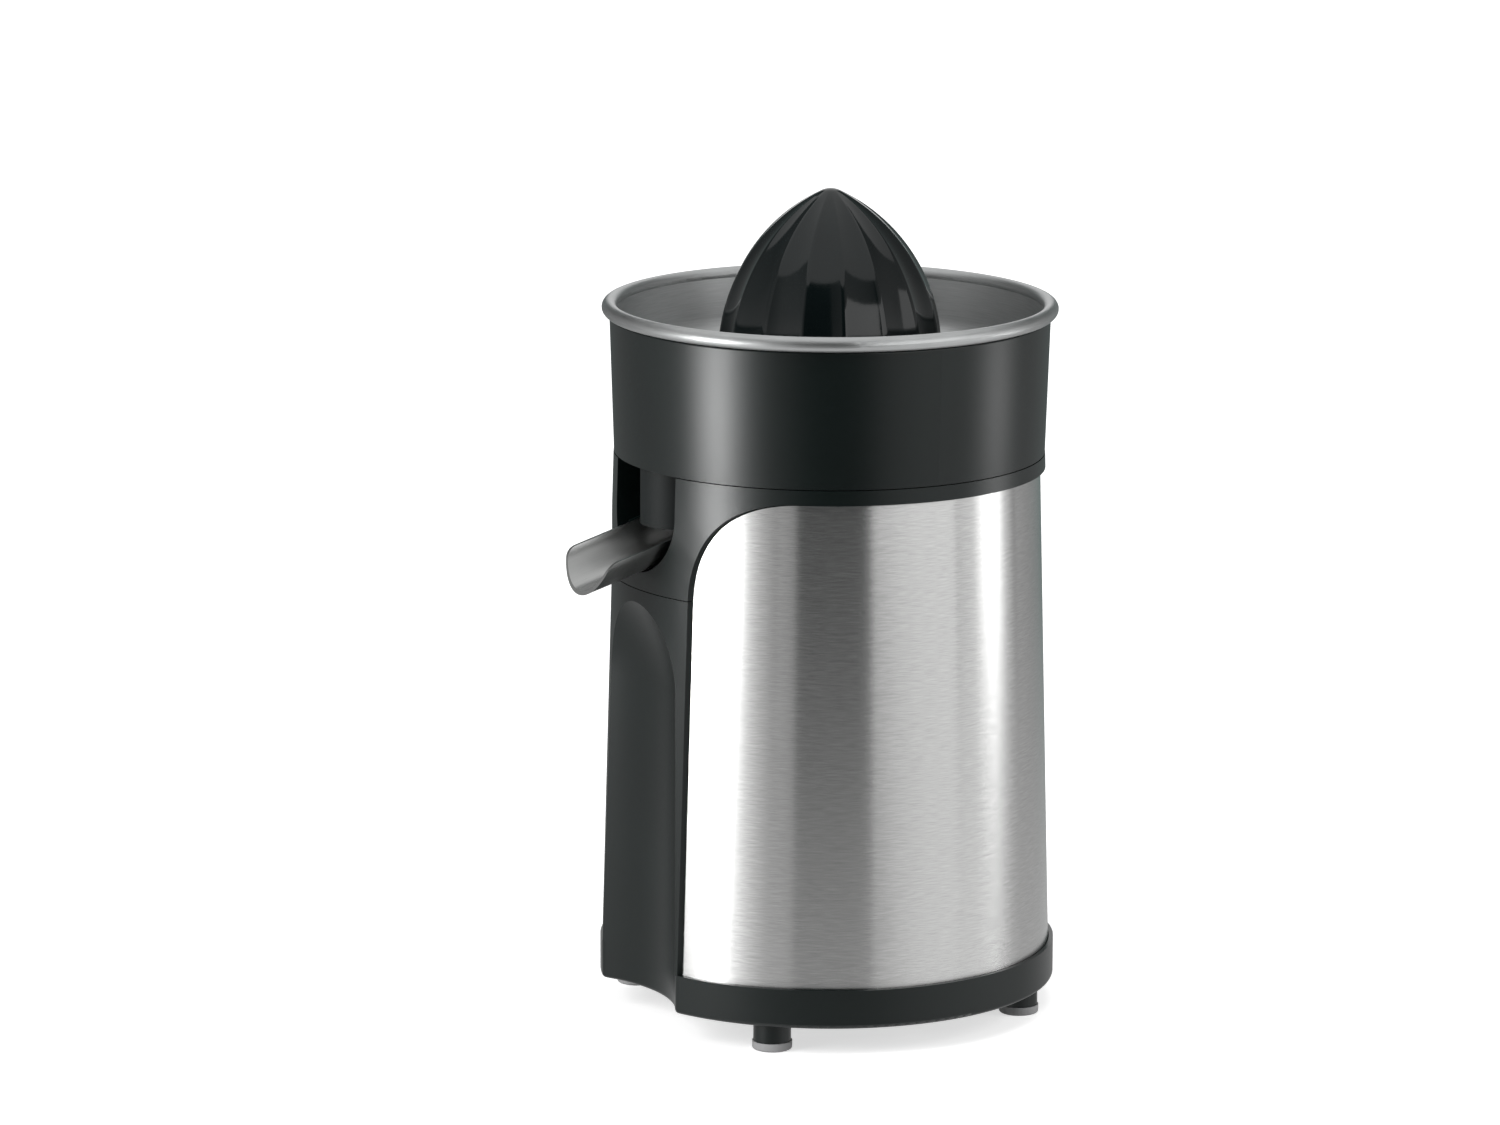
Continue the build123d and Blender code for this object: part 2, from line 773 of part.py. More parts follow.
with BuildPart() as strainer_bowl:
    with BuildSketch(Plane.XZ):
        with BuildLine():
            wall_line = FilletPolyline(
                (rim_radius - rim_tube + bowl_sheet / 2, rim_level),
                (bowl_floor_radius, bowl_floor),
                (bowl_cone_radius, bowl_floor),
                (bowl_hub_radius, bowl_floor + bowl_hub_rise),
                (bowl_hole_radius, bowl_floor + bowl_hub_rise),
                radius=[bowl_corner, bowl_bend, bowl_bend],
            )
            offset(wall_line, amount=bowl_sheet, side=Side.LEFT)
        make_face()
    revolve()
    with BuildSketch(Plane.XZ):
        with Locations((rim_radius, rim_level)):
            Circle(rim_tube)
    revolve()
    with BuildSketch(Plane.XY.offset(bowl_floor - bowl_hub_rise)):
        with PolarLocations(outer_slot_circle, outer_slot_count):
            Rectangle(outer_slot_length, slot_width)
        with PolarLocations(inner_slot_circle, inner_slot_count):
            Rectangle(inner_slot_length, slot_width)
    extrude(amount=3 * bowl_hub_rise, mode=Mode.SUBTRACT)
strainer_bowl.part.label = "strainer_bowl"
export_step(strainer_bowl.part, "parts/strainer_bowl.step")

# ---------------------------------------------------------------- reamer

reamer_foot = deck_top + reamer_seat
arc_level = reamer_foot - reamer_arc_drop
socket_depth = spindle_top_length + seam


def hexagon_radius(flats):
    """Corner radius of a hexagon that measures this much across its flats."""
    return flats / sqrt(3)


def reamer_section(inset, foot_width):
    """Half section of the cone under its one flank arc, moved inwards by an inset."""
    flank = reamer_arc_radius - inset
    tip = reamer_tip_round - inset
    tip_rise = sqrt((flank - tip) ** 2 - reamer_arc_offset**2)
    turn = degrees(acos(reamer_arc_offset / (flank - tip)))
    foot_turn = degrees(atan(reamer_arc_drop / sqrt(flank**2 - reamer_arc_drop**2)))
    with BuildSketch(Plane.XZ, mode=Mode.PRIVATE) as section:
        with BuildLine():
            side = CenterArc((-reamer_arc_offset, arc_level), flank, foot_turn, turn - foot_turn)
            CenterArc((0, arc_level + tip_rise), tip, turn, 90 - turn)
            Polyline((0, arc_level + tip_rise + tip), (0, reamer_foot), side @ 0)
        make_face()
        if foot_width:
            with Locations((0, reamer_foot)):
                Rectangle((side @ 0).X + foot_width, reamer_rim_height, align=(Align.MIN, Align.MIN))
    return section.sketch


flute_reach = reamer_arc_radius + flute_radius - flute_depth
flute_axis = Axis((-reamer_arc_offset, 0, arc_level + flute_rise), (0, -1, 0))

with BuildPart() as flute:
    with BuildSketch(Plane.XY.offset(arc_level + flute_rise)):
        with Locations((flute_reach - reamer_arc_offset, 0)):
            Circle(flute_radius)
    revolve(axis=flute_axis, revolution_arc=flute_arc)
    with BuildSketch(Plane.XY.offset(reamer_foot)):
        Circle(2 * reamer_arc_radius)
    extrude(amount=reamer_rim_height, mode=Mode.SUBTRACT)

with BuildPart() as reamer_inside:
    revolve(reamer_section(reamer_wall, 0))

with BuildPart() as reamer:
    revolve(reamer_section(0, reamer_rim_width))
    for place in PolarLocations(0, flute_count):
        with Locations(place):
            add(flute.part, mode=Mode.SUBTRACT)
    add(reamer_inside.part, mode=Mode.SUBTRACT)

with BuildPart() as reamer_core:
    with BuildSketch(Plane.XY.offset(reamer_foot)):
        Circle(reamer_hub_radius)
        with PolarLocations(0, reamer_rib_count // 2, 180 / reamer_rib_count, angular_range=180):
            Rectangle(2 * reamer_arc_radius, reamer_rib_thickness)
    extrude(amount=reamer_arc_radius)
    add(reamer_inside.part, mode=Mode.INTERSECT)
    with BuildSketch(Plane.XY.offset(reamer_foot)):
        RegularPolygon(hexagon_radius(spindle_top_flats + socket_gap), 6)
    extrude(amount=socket_depth, mode=Mode.SUBTRACT)

with reamer:
    add(reamer_core.part)
reamer.part.label = "reamer"
export_step(reamer.part, "parts/reamer.step")

# ---------------------------------------------------------------- spindle, its bush, seal and spring

spindle_shoulder = reamer_foot - seam

with BuildPart() as spindle:
    with BuildSketch(Plane.XY.offset(washer_bottom)):
        RegularPolygon(hexagon_radius(spindle_drive_flats), 6)
    extrude(amount=-spindle_drive_length)
    with BuildSketch(Plane.XY.offset(washer_bottom)):
        Circle(spindle_radius)
    extrude(amount=spindle_shoulder - washer_bottom)
    with BuildSketch(Plane.XY.offset(spindle_shoulder)):
        RegularPolygon(hexagon_radius(spindle_top_flats), 6)
    extrude(amount=spindle_top_length)
    chamfer(spindle.edges().group_by(Axis.Z)[-1], spindle_chamfer)
spindle.part.label = "spindle"
export_step(spindle.part, "parts/spindle.step")

with BuildPart() as thrust_washer:
    with BuildSketch(Plane.XY.offset(washer_bottom)):
        Circle(washer_radius)
        Circle(spindle_radius + press, mode=Mode.SUBTRACT)
    extrude(amount=washer_thickness)
thrust_washer.part.label = "thrust_washer"
export_step(thrust_washer.part, "parts/thrust_washer.step")

with BuildPart() as spindle_bush:
    with BuildSketch(Plane.XY.offset(tower_top - seal_height)):
        Circle(bush_radius)
        Circle(spindle_radius + running, mode=Mode.SUBTRACT)
    extrude(amount=-bush_length)
spindle_bush.part.label = "spindle_bush"
export_step(spindle_bush.part, "parts/spindle_bush.step")

with BuildPart() as shaft_seal:
    with BuildSketch(Plane.XZ):
        with BuildLine():
            Polyline(
                (bush_radius, tower_top - seal_height),
                (bush_radius, tower_top),
                (spindle_radius + running, tower_top),
                (spindle_radius + running, tower_top - seal_lip),
                (bush_radius - seal_lip, tower_top - seal_height),
                close=True,
            )
        make_face()
    revolve()
shaft_seal.part.label = "shaft_seal"
export_step(shaft_seal.part, "parts/shaft_seal.step")

with BuildPart() as return_spring:
    with BuildLine(Plane.XY.offset(hub_top + seam + spring_wire_height / 2)):
        coil = Helix(
            pitch=(spring_length - 2 * seam - spring_wire_height) / spring_turns,
            height=spring_length - 2 * seam - spring_wire_height,
            radius=spring_radius,
        )
    with BuildSketch(Plane(origin=coil @ 0, x_dir=(1, 0, 0), z_dir=coil % 0)):
        Rectangle(spring_wire_width, spring_wire_height)
    sweep(path=coil, is_frenet=True)
return_spring.part.label = "return_spring"
export_step(return_spring.part, "parts/return_spring.step")

# ---------------------------------------------------------------- gears


def tooth_angle(radius, teeth, flank_root):
    """Half the angle that a tooth fills at a radius, from its involute."""
    pitch_radius = gear_module * teeth / 2
    base = pitch_radius * cos(radians(pressure_angle))
    lean = acos(min(1, base / max(radius, flank_root)))
    pitch_lean = radians(pressure_angle)
    half_pitch_tooth = pi / (2 * teeth) - backlash / (2 * pitch_radius)
    return degrees(half_pitch_tooth + (tan(pitch_lean) - pitch_lean) - (tan(lean) - lean))


def gear_face_outline(teeth, addendum, level, first_tooth):
    """Outline of a spur gear, with a tooth centred on the angle given."""
    pitch_radius = gear_module * teeth / 2
    tip = pitch_radius + addendum * gear_module
    root = pitch_radius - dedendum * gear_module
    flank_root = max(root, pitch_radius * cos(radians(pressure_angle)))
    middle = (tip + flank_root) / 2

    def point(radius, angle):
        return (radius * cos(radians(angle)), radius * sin(radians(angle)))

    with BuildSketch(Plane.XY.offset(level), mode=Mode.PRIVATE) as outline:
        with BuildLine():
            for tooth in range(teeth):
                centre = first_tooth + tooth * 360 / teeth
                following = centre + 360 / teeth
                low, half, high = (tooth_angle(radius, teeth, flank_root) for radius in (root, middle, tip))
                if flank_root > root:
                    Line(point(root, centre - low), point(flank_root, centre - low))
                    Line(point(flank_root, centre + low), point(root, centre + low))
                ThreePointArc(
                    point(flank_root, centre - low), point(middle, centre - half), point(tip, centre - high)
                )
                Line(point(tip, centre - high), point(tip, centre + high))
                ThreePointArc(
                    point(tip, centre + high), point(middle, centre + half), point(flank_root, centre + low)
                )
                Line(point(root, centre + low), point(root, following - low))
        make_face()
    return outline.sketch


wheel_root = gear_module * (wheel_teeth / 2 - dedendum)
half_wheel_tooth = 180 / wheel_teeth
half_pinion_tooth = 180 / pinion_teeth

with BuildPart() as output_gear:
    extrude(gear_face_outline(wheel_teeth, wheel_addendum, output_bottom, 90), amount=gear_face)
    for level, depth in (
        (output_top, -(gear_face - wheel_web) / 2),
        (output_bottom, (gear_face - wheel_web) / 2),
    ):
        with BuildSketch(Plane.XY.offset(level)):
            Circle(wheel_root - wheel_rim)
            Circle(gear_hub_radius, mode=Mode.SUBTRACT)
        extrude(amount=depth, mode=Mode.SUBTRACT)
    with BuildSketch(Plane.XY.offset(output_bottom - wheel_boss)):
        Circle(gear_hub_radius)
    extrude(amount=hub_top - output_bottom + wheel_boss)
    with BuildSketch(Plane.XY.offset(output_bottom - wheel_boss)):
        RegularPolygon(hexagon_radius(spindle_drive_flats + socket_gap), 6)
    extrude(amount=hub_top - output_bottom + wheel_boss, mode=Mode.SUBTRACT)
output_gear.part.label = "output_gear"
export_step(output_gear.part, "parts/output_gear.step")

with BuildPart() as idler_blank:
    extrude(
        gear_face_outline(wheel_teeth, wheel_addendum, idler_bottom, -90 + half_wheel_tooth),
        amount=gear_face,
    )
    extrude(
        gear_face_outline(pinion_teeth, pinion_addendum, idler_top, -90 + half_pinion_tooth),
        amount=output_top + pinion_overhang - idler_top,
    )
    with BuildSketch(Plane.XY.offset(idler_bottom)):
        Circle(wheel_root - wheel_rim)
        Circle(gear_hub_radius, mode=Mode.SUBTRACT)
    extrude(amount=gear_face - wheel_web, mode=Mode.SUBTRACT)
    with BuildSketch(Plane.XY.offset(idler_bottom)):
        Circle(axle_radius + running)
    extrude(amount=output_top + pinion_overhang - idler_bottom, mode=Mode.SUBTRACT)

with BuildPart() as idler_gear:
    with Locations((0, gear_centres)):
        add(idler_blank.part)
idler_gear.part.label = "idler_gear"
export_step(idler_gear.part, "parts/idler_gear.step")

with BuildPart() as motor_pinion:
    extrude(gear_face_outline(pinion_teeth, pinion_addendum, idler_bottom, 90), amount=gear_face)
    with BuildSketch(Plane.XY.offset(idler_bottom)):
        Circle(shaft_radius + press)
    extrude(amount=gear_face, mode=Mode.SUBTRACT)
motor_pinion.part.label = "motor_pinion"
export_step(motor_pinion.part, "parts/motor_pinion.step")

with BuildPart() as idler_axle:
    with BuildSketch(Plane.XY.offset(case_floor_bottom)):
        with Locations((0, gear_centres)):
            Circle(axle_radius)
    extrude(amount=gear_cover_top - case_floor_bottom)
idler_axle.part.label = "idler_axle"
export_step(idler_axle.part, "parts/idler_axle.step")

# ---------------------------------------------------------------- gear case, cover and bushes

wheel_tip = gear_module * (wheel_teeth / 2 + wheel_addendum)
case_radius = wheel_tip + case_margin + case_wall
output_bush_radius = gear_hub_radius + running + output_bush_wall
output_bush_bottom = output_top + seam
output_bush_top = output_bush_bottom + output_bush_length


def case_outline(radius, level):
    """Outline round both gear centres."""
    with BuildSketch(Plane.XY.offset(level), mode=Mode.PRIVATE) as outline:
        Circle(radius)
        with Locations((0, gear_centres / 2)):
            Rectangle(2 * radius, gear_centres)
        with Locations((0, gear_centres)):
            Circle(radius)
    return outline.sketch


def lug_outline(level):
    """Four screw lugs with their arms, beside the gear case."""
    with BuildSketch(Plane.XY.offset(level), mode=Mode.PRIVATE) as outline:
        with Locations(lug_spots):
            Circle(lug_radius)
        with Locations((0, lug_front), (0, lug_rear)):
            Rectangle(2 * lug_reach, 2 * lug_radius)
    return outline.sketch


with BuildPart() as gear_case:
    extrude(case_outline(case_radius, case_floor_bottom), amount=gear_cover_bottom - case_floor_bottom)
    extrude(lug_outline(gear_cover_bottom), amount=-lug_thickness)
    extrude(
        case_outline(case_radius - case_wall, case_floor_top),
        amount=gear_cover_bottom - case_floor_top,
        mode=Mode.SUBTRACT,
    )
    with BuildSketch(Plane.XY.offset(case_floor_bottom)):
        Circle(case_flange_radius)
    extrude(amount=case_floor)
    with BuildSketch(Plane.XY.offset(stack_top)):
        with PolarLocations(motor_screw_circle, 4, start_angle=45):
            Circle(motor_post_radius)
    extrude(amount=case_floor_bottom - stack_top)
    with BuildSketch(Plane.XY.offset(case_floor_top)):
        Circle(motor_bush_radius + case_wall)
    extrude(amount=-motor_bush_length)
    with BuildSketch(Plane.XY.offset(case_floor_top)):
        Circle(motor_bush_radius + press)
    extrude(amount=-motor_bush_length, mode=Mode.SUBTRACT)
    with BuildSketch(Plane.XY.offset(case_floor_bottom)):
        with Locations((0, gear_centres)):
            Circle(axle_radius + press)
        with Locations(lug_spots):
            Circle(screw_radius + press)
    extrude(amount=gear_cover_bottom - case_floor_bottom, mode=Mode.SUBTRACT)
    with BuildSketch(Plane.XY.offset(stack_top)):
        with PolarLocations(motor_screw_circle, 4, start_angle=45):
            Circle(screw_radius + press)
    extrude(amount=case_floor_top - stack_top, mode=Mode.SUBTRACT)
gear_case.part.label = "gear_case"
export_step(gear_case.part, "parts/gear_case.step")

lever_pivot_level = washer_bottom - lever_pivot_drop
lever_axis = Plane(origin=(0, lever_pivot_distance, lever_pivot_level), x_dir=(0, 1, 0), z_dir=(1, 0, 0))
ear_inside = lever_width / 2 + seam

with BuildPart() as gear_cover:
    extrude(case_outline(case_radius, gear_cover_bottom), amount=gear_cover_thickness)
    extrude(lug_outline(gear_cover_bottom), amount=gear_cover_thickness)
    with BuildSketch(Plane.XY.offset(output_bush_bottom)):
        Circle(output_bush_radius + case_wall)
    extrude(amount=output_bush_length)
    with BuildSketch(Plane.XY.offset(output_bush_bottom)):
        Circle(output_bush_radius + press)
    extrude(amount=output_bush_length, mode=Mode.SUBTRACT)
    with BuildSketch(lever_axis.offset(-ear_inside - ear_thickness)):
        Circle(ear_radius)
        Rectangle(
            2 * ear_radius,
            lever_pivot_level - gear_cover_top,
            align=(Align.CENTER, Align.MAX),
        )
    extrude(amount=2 * (ear_inside + ear_thickness))
    with BuildSketch(lever_axis.offset(-ear_inside)):
        Rectangle(4 * ear_radius, 2 * (lever_pivot_level - gear_cover_top))
    extrude(amount=2 * ear_inside, mode=Mode.SUBTRACT)
    with BuildSketch(lever_axis):
        Circle(lever_pin_radius + press)
    extrude(amount=ear_inside + ear_thickness, both=True, mode=Mode.SUBTRACT)
    with BuildSketch(Plane.XY.offset(gear_cover_bottom)):
        with Locations((0, gear_centres)):
            Circle(axle_radius + press)
        with Locations(lug_spots):
            Circle(screw_radius + press)
    extrude(amount=gear_cover_thickness, mode=Mode.SUBTRACT)
gear_cover.part.label = "gear_cover"
export_step(gear_cover.part, "parts/gear_cover.step")

with BuildPart() as output_bush:
    with BuildSketch(Plane.XY.offset(output_bush_bottom)):
        Circle(output_bush_radius)
        Circle(gear_hub_radius + running, mode=Mode.SUBTRACT)
    extrude(amount=output_bush_length)
output_bush.part.label = "output_bush"
export_step(output_bush.part, "parts/output_bush.step")

with BuildPart() as retaining_ring:
    with BuildSketch(Plane.XY.offset(output_bush_top + seam)):
        Circle(gear_hub_radius + ring_width)
        Circle(gear_hub_radius + press, mode=Mode.SUBTRACT)
        with Locations((-gear_hub_radius - ring_width / 2, 0)):
            Rectangle(2 * ring_width, ring_width, mode=Mode.SUBTRACT)
    extrude(amount=ring_thickness)
retaining_ring.part.label = "retaining_ring"
export_step(retaining_ring.part, "parts/retaining_ring.step")

with BuildPart() as vibration_grommets:
    with BuildSketch(Plane.XY.offset(gear_cover_top)):
        with Locations(lug_spots):
            Circle(grommet_radius)
            Circle(screw_radius + press, mode=Mode.SUBTRACT)
    extrude(amount=grommet_height)
vibration_grommets.part.label = "vibration_grommets"
export_step(vibration_grommets.part, "parts/vibration_grommets.step")

# ---------------------------------------------------------------- motor

with BuildPart() as stator_stack:
    with BuildSketch(Plane.XY.offset(stack_bottom)):
        Circle(stack_radius)
        Circle(stack_radius - stack_yoke, mode=Mode.SUBTRACT)
        with PolarLocations((stack_radius - stack_yoke / 2) / 2, 4):
            Rectangle(stack_radius - stack_yoke / 2, pole_width)
        Circle(rotor_radius + air_gap, mode=Mode.SUBTRACT)
        with PolarLocations(motor_screw_circle, 4, start_angle=45):
            Circle(screw_radius + press, mode=Mode.SUBTRACT)
    extrude(amount=stack_height)
stator_stack.part.label = "stator_stack"
export_step(stator_stack.part, "parts/stator_stack.step")

coil_hole_width = pole_width + 2 * coil_gap
coil_hole_height = stack_height + 2 * coil_gap

with BuildPart() as stator_coils:
    for quarter in range(4):
        outwards = Vector(cos(quarter * pi / 2), sin(quarter * pi / 2), 0)
        coil_end = Plane(
            origin=outwards * coil_inner + Vector(0, 0, stack_bottom + stack_height / 2),
            x_dir=(0, 0, 1),
            z_dir=outwards,
        )
        with BuildSketch(coil_end):
            RectangleRounded(coil_hole_height + 2 * coil_width, coil_hole_width + 2 * coil_width, coil_width)
            Rectangle(coil_hole_height, coil_hole_width, mode=Mode.SUBTRACT)
        extrude(amount=coil_outer - coil_inner)
stator_coils.part.label = "stator_coils"
export_step(stator_coils.part, "parts/stator_coils.step")

with BuildPart() as rotor:
    with BuildSketch(Plane.XY.offset(stack_bottom)):
        Circle(rotor_radius)
    extrude(amount=stack_height)
    with BuildSketch(Plane.XY.offset(stack_bottom - cage_height)):
        Circle(cage_radius)
    extrude(amount=stack_height + 2 * cage_height)
    with BuildSketch(Plane.XY.offset(stack_bottom - cage_height)):
        Circle(shaft_radius + press)
    extrude(amount=stack_height + 2 * cage_height, mode=Mode.SUBTRACT)
rotor.part.label = "rotor"
export_step(rotor.part, "parts/rotor.step")

with BuildPart() as motor_shaft:
    with BuildSketch(Plane.XY.offset(fan_bottom)):
        Circle(shaft_radius)
    extrude(amount=idler_top - fan_bottom)
motor_shaft.part.label = "motor_shaft"
export_step(motor_shaft.part, "parts/motor_shaft.step")

bracket_bush_bottom = (bracket_top + bracket_bottom - motor_bush_length) / 2

with BuildPart() as motor_bushes:
    for level in (case_floor_top - motor_bush_length, bracket_bush_bottom):
        with BuildSketch(Plane.XY.offset(level)):
            Circle(motor_bush_radius)
            Circle(shaft_radius + running, mode=Mode.SUBTRACT)
        extrude(amount=motor_bush_length)
motor_bushes.part.label = "motor_bushes"
export_step(motor_bushes.part, "parts/motor_bushes.step")

with BuildPart() as motor_bracket:
    with BuildSketch(Plane.XY.offset(bracket_bottom)):
        Circle(motor_bush_radius + 2 * case_wall)
        with PolarLocations(motor_screw_circle, 4, start_angle=45):
            Circle(motor_post_radius)
        with PolarLocations(motor_screw_circle / 2, 4, start_angle=45):
            Rectangle(motor_screw_circle, 2 * motor_post_radius)
    extrude(amount=bracket_thickness)
    with BuildSketch(Plane.XY.offset(bracket_bush_bottom)):
        Circle(motor_bush_radius + case_wall)
    extrude(amount=motor_bush_length)
    with BuildSketch(Plane.XY.offset(bracket_top)):
        with PolarLocations(motor_screw_circle, 4, start_angle=45):
            Circle(motor_post_radius)
    extrude(amount=stack_bottom - bracket_top)
    with BuildSketch(Plane.XY.offset(bracket_bush_bottom)):
        Circle(motor_bush_radius + press)
    extrude(amount=motor_bush_length, mode=Mode.SUBTRACT)
    with BuildSketch(Plane.XY.offset(bracket_bottom)):
        with PolarLocations(motor_screw_circle, 4, start_angle=45):
            Circle(screw_radius + press)
    extrude(amount=stack_bottom - bracket_bottom, mode=Mode.SUBTRACT)
motor_bracket.part.label = "motor_bracket"
export_step(motor_bracket.part, "parts/motor_bracket.step")

with BuildPart() as cooling_fan:
    with BuildSketch(Plane.XY.offset(fan_bottom)):
        Circle(fan_hub_radius)
        with PolarLocations(fan_radius / 2, fan_blades):
            Rectangle(fan_radius, fan_blade_thickness)
    extrude(amount=fan_height)
    with BuildSketch(Plane.XY.offset(fan_top)):
        Circle(fan_radius)
    extrude(amount=-fan_plate)
    with BuildSketch(Plane.XY.offset(fan_bottom)):
        Circle(shaft_radius + press)
    extrude(amount=fan_height, mode=Mode.SUBTRACT)
cooling_fan.part.label = "cooling_fan"
export_step(cooling_fan.part, "parts/cooling_fan.step")

# ---------------------------------------------------------------- start switch

with BuildPart() as switch_lever:
    with BuildSketch(lever_axis.offset(-lever_width / 2)):
        Circle(lever_hub_radius)
        for across, rise in (
            (lever_finger - lever_pivot_distance, lever_finger_rise),
            (lever_outer, lever_outer_rise),
        ):
            length = sqrt(across**2 + rise**2)
            with Locations(Location((across / 2, rise / 2, 0), (0, 0, degrees(atan(rise / across))))):
                Rectangle(length, 2 * lever_tip_radius)
            with Locations((across, rise)):
                Circle(lever_tip_radius)
    extrude(amount=lever_width)
    with BuildSketch(lever_axis):
        Circle(lever_pin_radius + running)
    extrude(amount=lever_width, both=True, mode=Mode.SUBTRACT)
switch_lever.part.label = "switch_lever"
export_step(switch_lever.part, "parts/switch_lever.step")

with BuildPart() as lever_pin:
    with BuildSketch(lever_axis):
        Circle(lever_pin_radius)
    extrude(amount=ear_inside + ear_thickness, both=True)
lever_pin.part.label = "lever_pin"
export_step(lever_pin.part, "parts/lever_pin.step")

pressed_turn = press_travel / (lever_pivot_distance - lever_finger)
button_bottom = (
    lever_pivot_level
    + lever_outer * sin(pressed_turn)
    + lever_outer_rise * cos(pressed_turn)
    + lever_tip_radius
    + seam
)
switch_bottom = button_bottom + button_height
switch_centre = lever_pivot_distance + lever_outer

with BuildPart() as microswitch:
    with BuildSketch(Plane.XY.offset(switch_bottom)):
        with Locations((0, switch_centre)):
            Rectangle(switch_width, switch_length)
    extrude(amount=deck_bottom - switch_bottom)
    with BuildSketch(Plane.XY.offset(button_bottom)):
        with Locations((0, switch_centre)):
            Rectangle(button_width, button_width)
    extrude(amount=button_height)
    with BuildSketch(Plane.XY.offset(switch_bottom)):
        with Locations((0, switch_centre + switch_length / 2)):
            with GridLocations(2 * terminal_width, 0, 2, 1):
                Rectangle(terminal_width, 2 * terminal_height)
    extrude(amount=button_height)
microswitch.part.label = "microswitch"
export_step(microswitch.part, "parts/microswitch.step")

# ---------------------------------------------------------------- mains entry

flange_face = body_radius(inlet_level - inlet_flange) + press
neck_end = shell_radius(inlet_level) - shell_thickness - seam

with BuildPart() as cord_inlet:
    with BuildSketch(inlet_axis.offset(flange_face)):
        Circle(inlet_flange)
    extrude(amount=inlet_flange_thickness)
    fillet(cord_inlet.edges().group_by(Axis.Y)[-1], seal_lip)
    with BuildSketch(inlet_axis.offset(flange_face)):
        Circle(inlet_neck)
    extrude(amount=neck_end - flange_face)
    with BuildSketch(inlet_axis.offset(neck_end)):
        Circle(inlet_lip)
    extrude(amount=-inlet_lip_length)
    with BuildSketch(inlet_axis.offset(flange_face + inlet_flange_thickness)):
        Circle(inlet_bore)
    extrude(amount=-base_radius, mode=Mode.SUBTRACT)
cord_inlet.part.label = "cord_inlet"
export_step(cord_inlet.part, "parts/cord_inlet.step")

with BuildPart() as terminal_block:
    with BuildSketch(Plane.XY.offset(ledge_top)):
        with Locations((0, block_distance)):
            Rectangle(block_length, block_width)
    extrude(amount=block_height)
    with BuildSketch(Plane.XY.offset(ledge_top + block_height)):
        with Locations((0, block_distance)):
            with GridLocations(block_length / 3, 0, 3, 1):
                Circle(screw_head_radius)
    extrude(amount=-block_height / 3, mode=Mode.SUBTRACT)
terminal_block.part.label = "terminal_block"
export_step(terminal_block.part, "parts/terminal_block.step")

# ---------------------------------------------------------------- fasteners


def screws(spots, head_base, length, up):
    """Pan-head screws at the spots, with their heads outside the level given."""
    way = 1 if up else -1
    with BuildPart() as group:
        with BuildSketch(Plane.XY.offset(head_base)):
            with Locations(spots):
                Circle(screw_head_radius)
        extrude(amount=-way * screw_head_height)
        with BuildSketch(Plane.XY.offset(head_base)):
            with Locations(spots):
                Circle(screw_radius)
        extrude(amount=way * length)
    return group.part


def ring_spots(radius, angles):
    """Points at the angles on a circle."""
    return [(radius * cos(radians(angle)), radius * sin(radians(angle))) for angle in angles]


screw_groups = {
    "cover_screws": screws(
        ring_spots(cover_screw_circle, (0, 90, 180, 270)),
        cover_bottom + screw_head_height / 2,
        ledge_top - cover_bottom - screw_head_height / 2,
        True,
    ),
    "base_screws": screws(ring_spots(column_circle, column_angles), ledge_bottom, screw_length, True),
    "deck_screws": screws(
        ring_spots(column_circle, column_angles), deck_top - screw_head_height, screw_length, False
    ),
    "gearbox_screws": screws(
        lug_spots,
        gear_cover_bottom - lug_thickness,
        lug_thickness + gear_cover_thickness + grommet_height + screw_length,
        True,
    ),
    "motor_screws": screws(
        ring_spots(motor_screw_circle, (45, 135, 225, 315)),
        bracket_bottom,
        case_floor_top - bracket_bottom,
        True,
    ),
}

for name, group in screw_groups.items():
    group.label = name
    export_step(group, f"parts/{name}.step")
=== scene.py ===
"""Looks, light and camera for the citrus press juicer. Metres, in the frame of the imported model."""

import json
from math import acos, asin, atan2, cos, degrees, pi, radians, sin, sqrt

import bmesh
import bpy
from mathutils import Matrix, Vector


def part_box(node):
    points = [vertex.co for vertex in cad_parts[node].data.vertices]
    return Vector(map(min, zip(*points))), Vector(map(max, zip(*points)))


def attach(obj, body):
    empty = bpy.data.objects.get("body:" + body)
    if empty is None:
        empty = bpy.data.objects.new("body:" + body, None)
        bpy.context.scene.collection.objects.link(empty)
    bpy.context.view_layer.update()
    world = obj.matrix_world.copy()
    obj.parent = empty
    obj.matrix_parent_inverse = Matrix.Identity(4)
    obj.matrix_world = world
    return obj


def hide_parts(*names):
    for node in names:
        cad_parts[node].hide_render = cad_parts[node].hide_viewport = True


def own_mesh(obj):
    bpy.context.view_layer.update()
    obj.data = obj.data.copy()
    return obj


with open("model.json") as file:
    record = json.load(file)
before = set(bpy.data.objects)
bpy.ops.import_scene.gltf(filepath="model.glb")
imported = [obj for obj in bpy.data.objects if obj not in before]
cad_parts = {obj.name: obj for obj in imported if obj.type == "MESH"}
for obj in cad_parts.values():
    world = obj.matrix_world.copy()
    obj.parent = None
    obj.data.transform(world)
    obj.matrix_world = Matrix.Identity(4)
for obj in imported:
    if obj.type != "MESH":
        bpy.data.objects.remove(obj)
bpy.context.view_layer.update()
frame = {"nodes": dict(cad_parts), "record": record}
nodes = frame["nodes"]

camera_place = Vector((2.0997, -1.1956, 0.6633))
viewer_bearing = degrees(atan2(camera_place.y, camera_place.x))

# ---------------------------------------------------------------- node helpers


def new_material(name):
    """An empty node material with its Principled shader and links."""
    material = bpy.data.materials.new(name)
    material.use_nodes = True
    tree = material.node_tree
    shader = tree.nodes["Principled BSDF"]
    return material, tree, shader


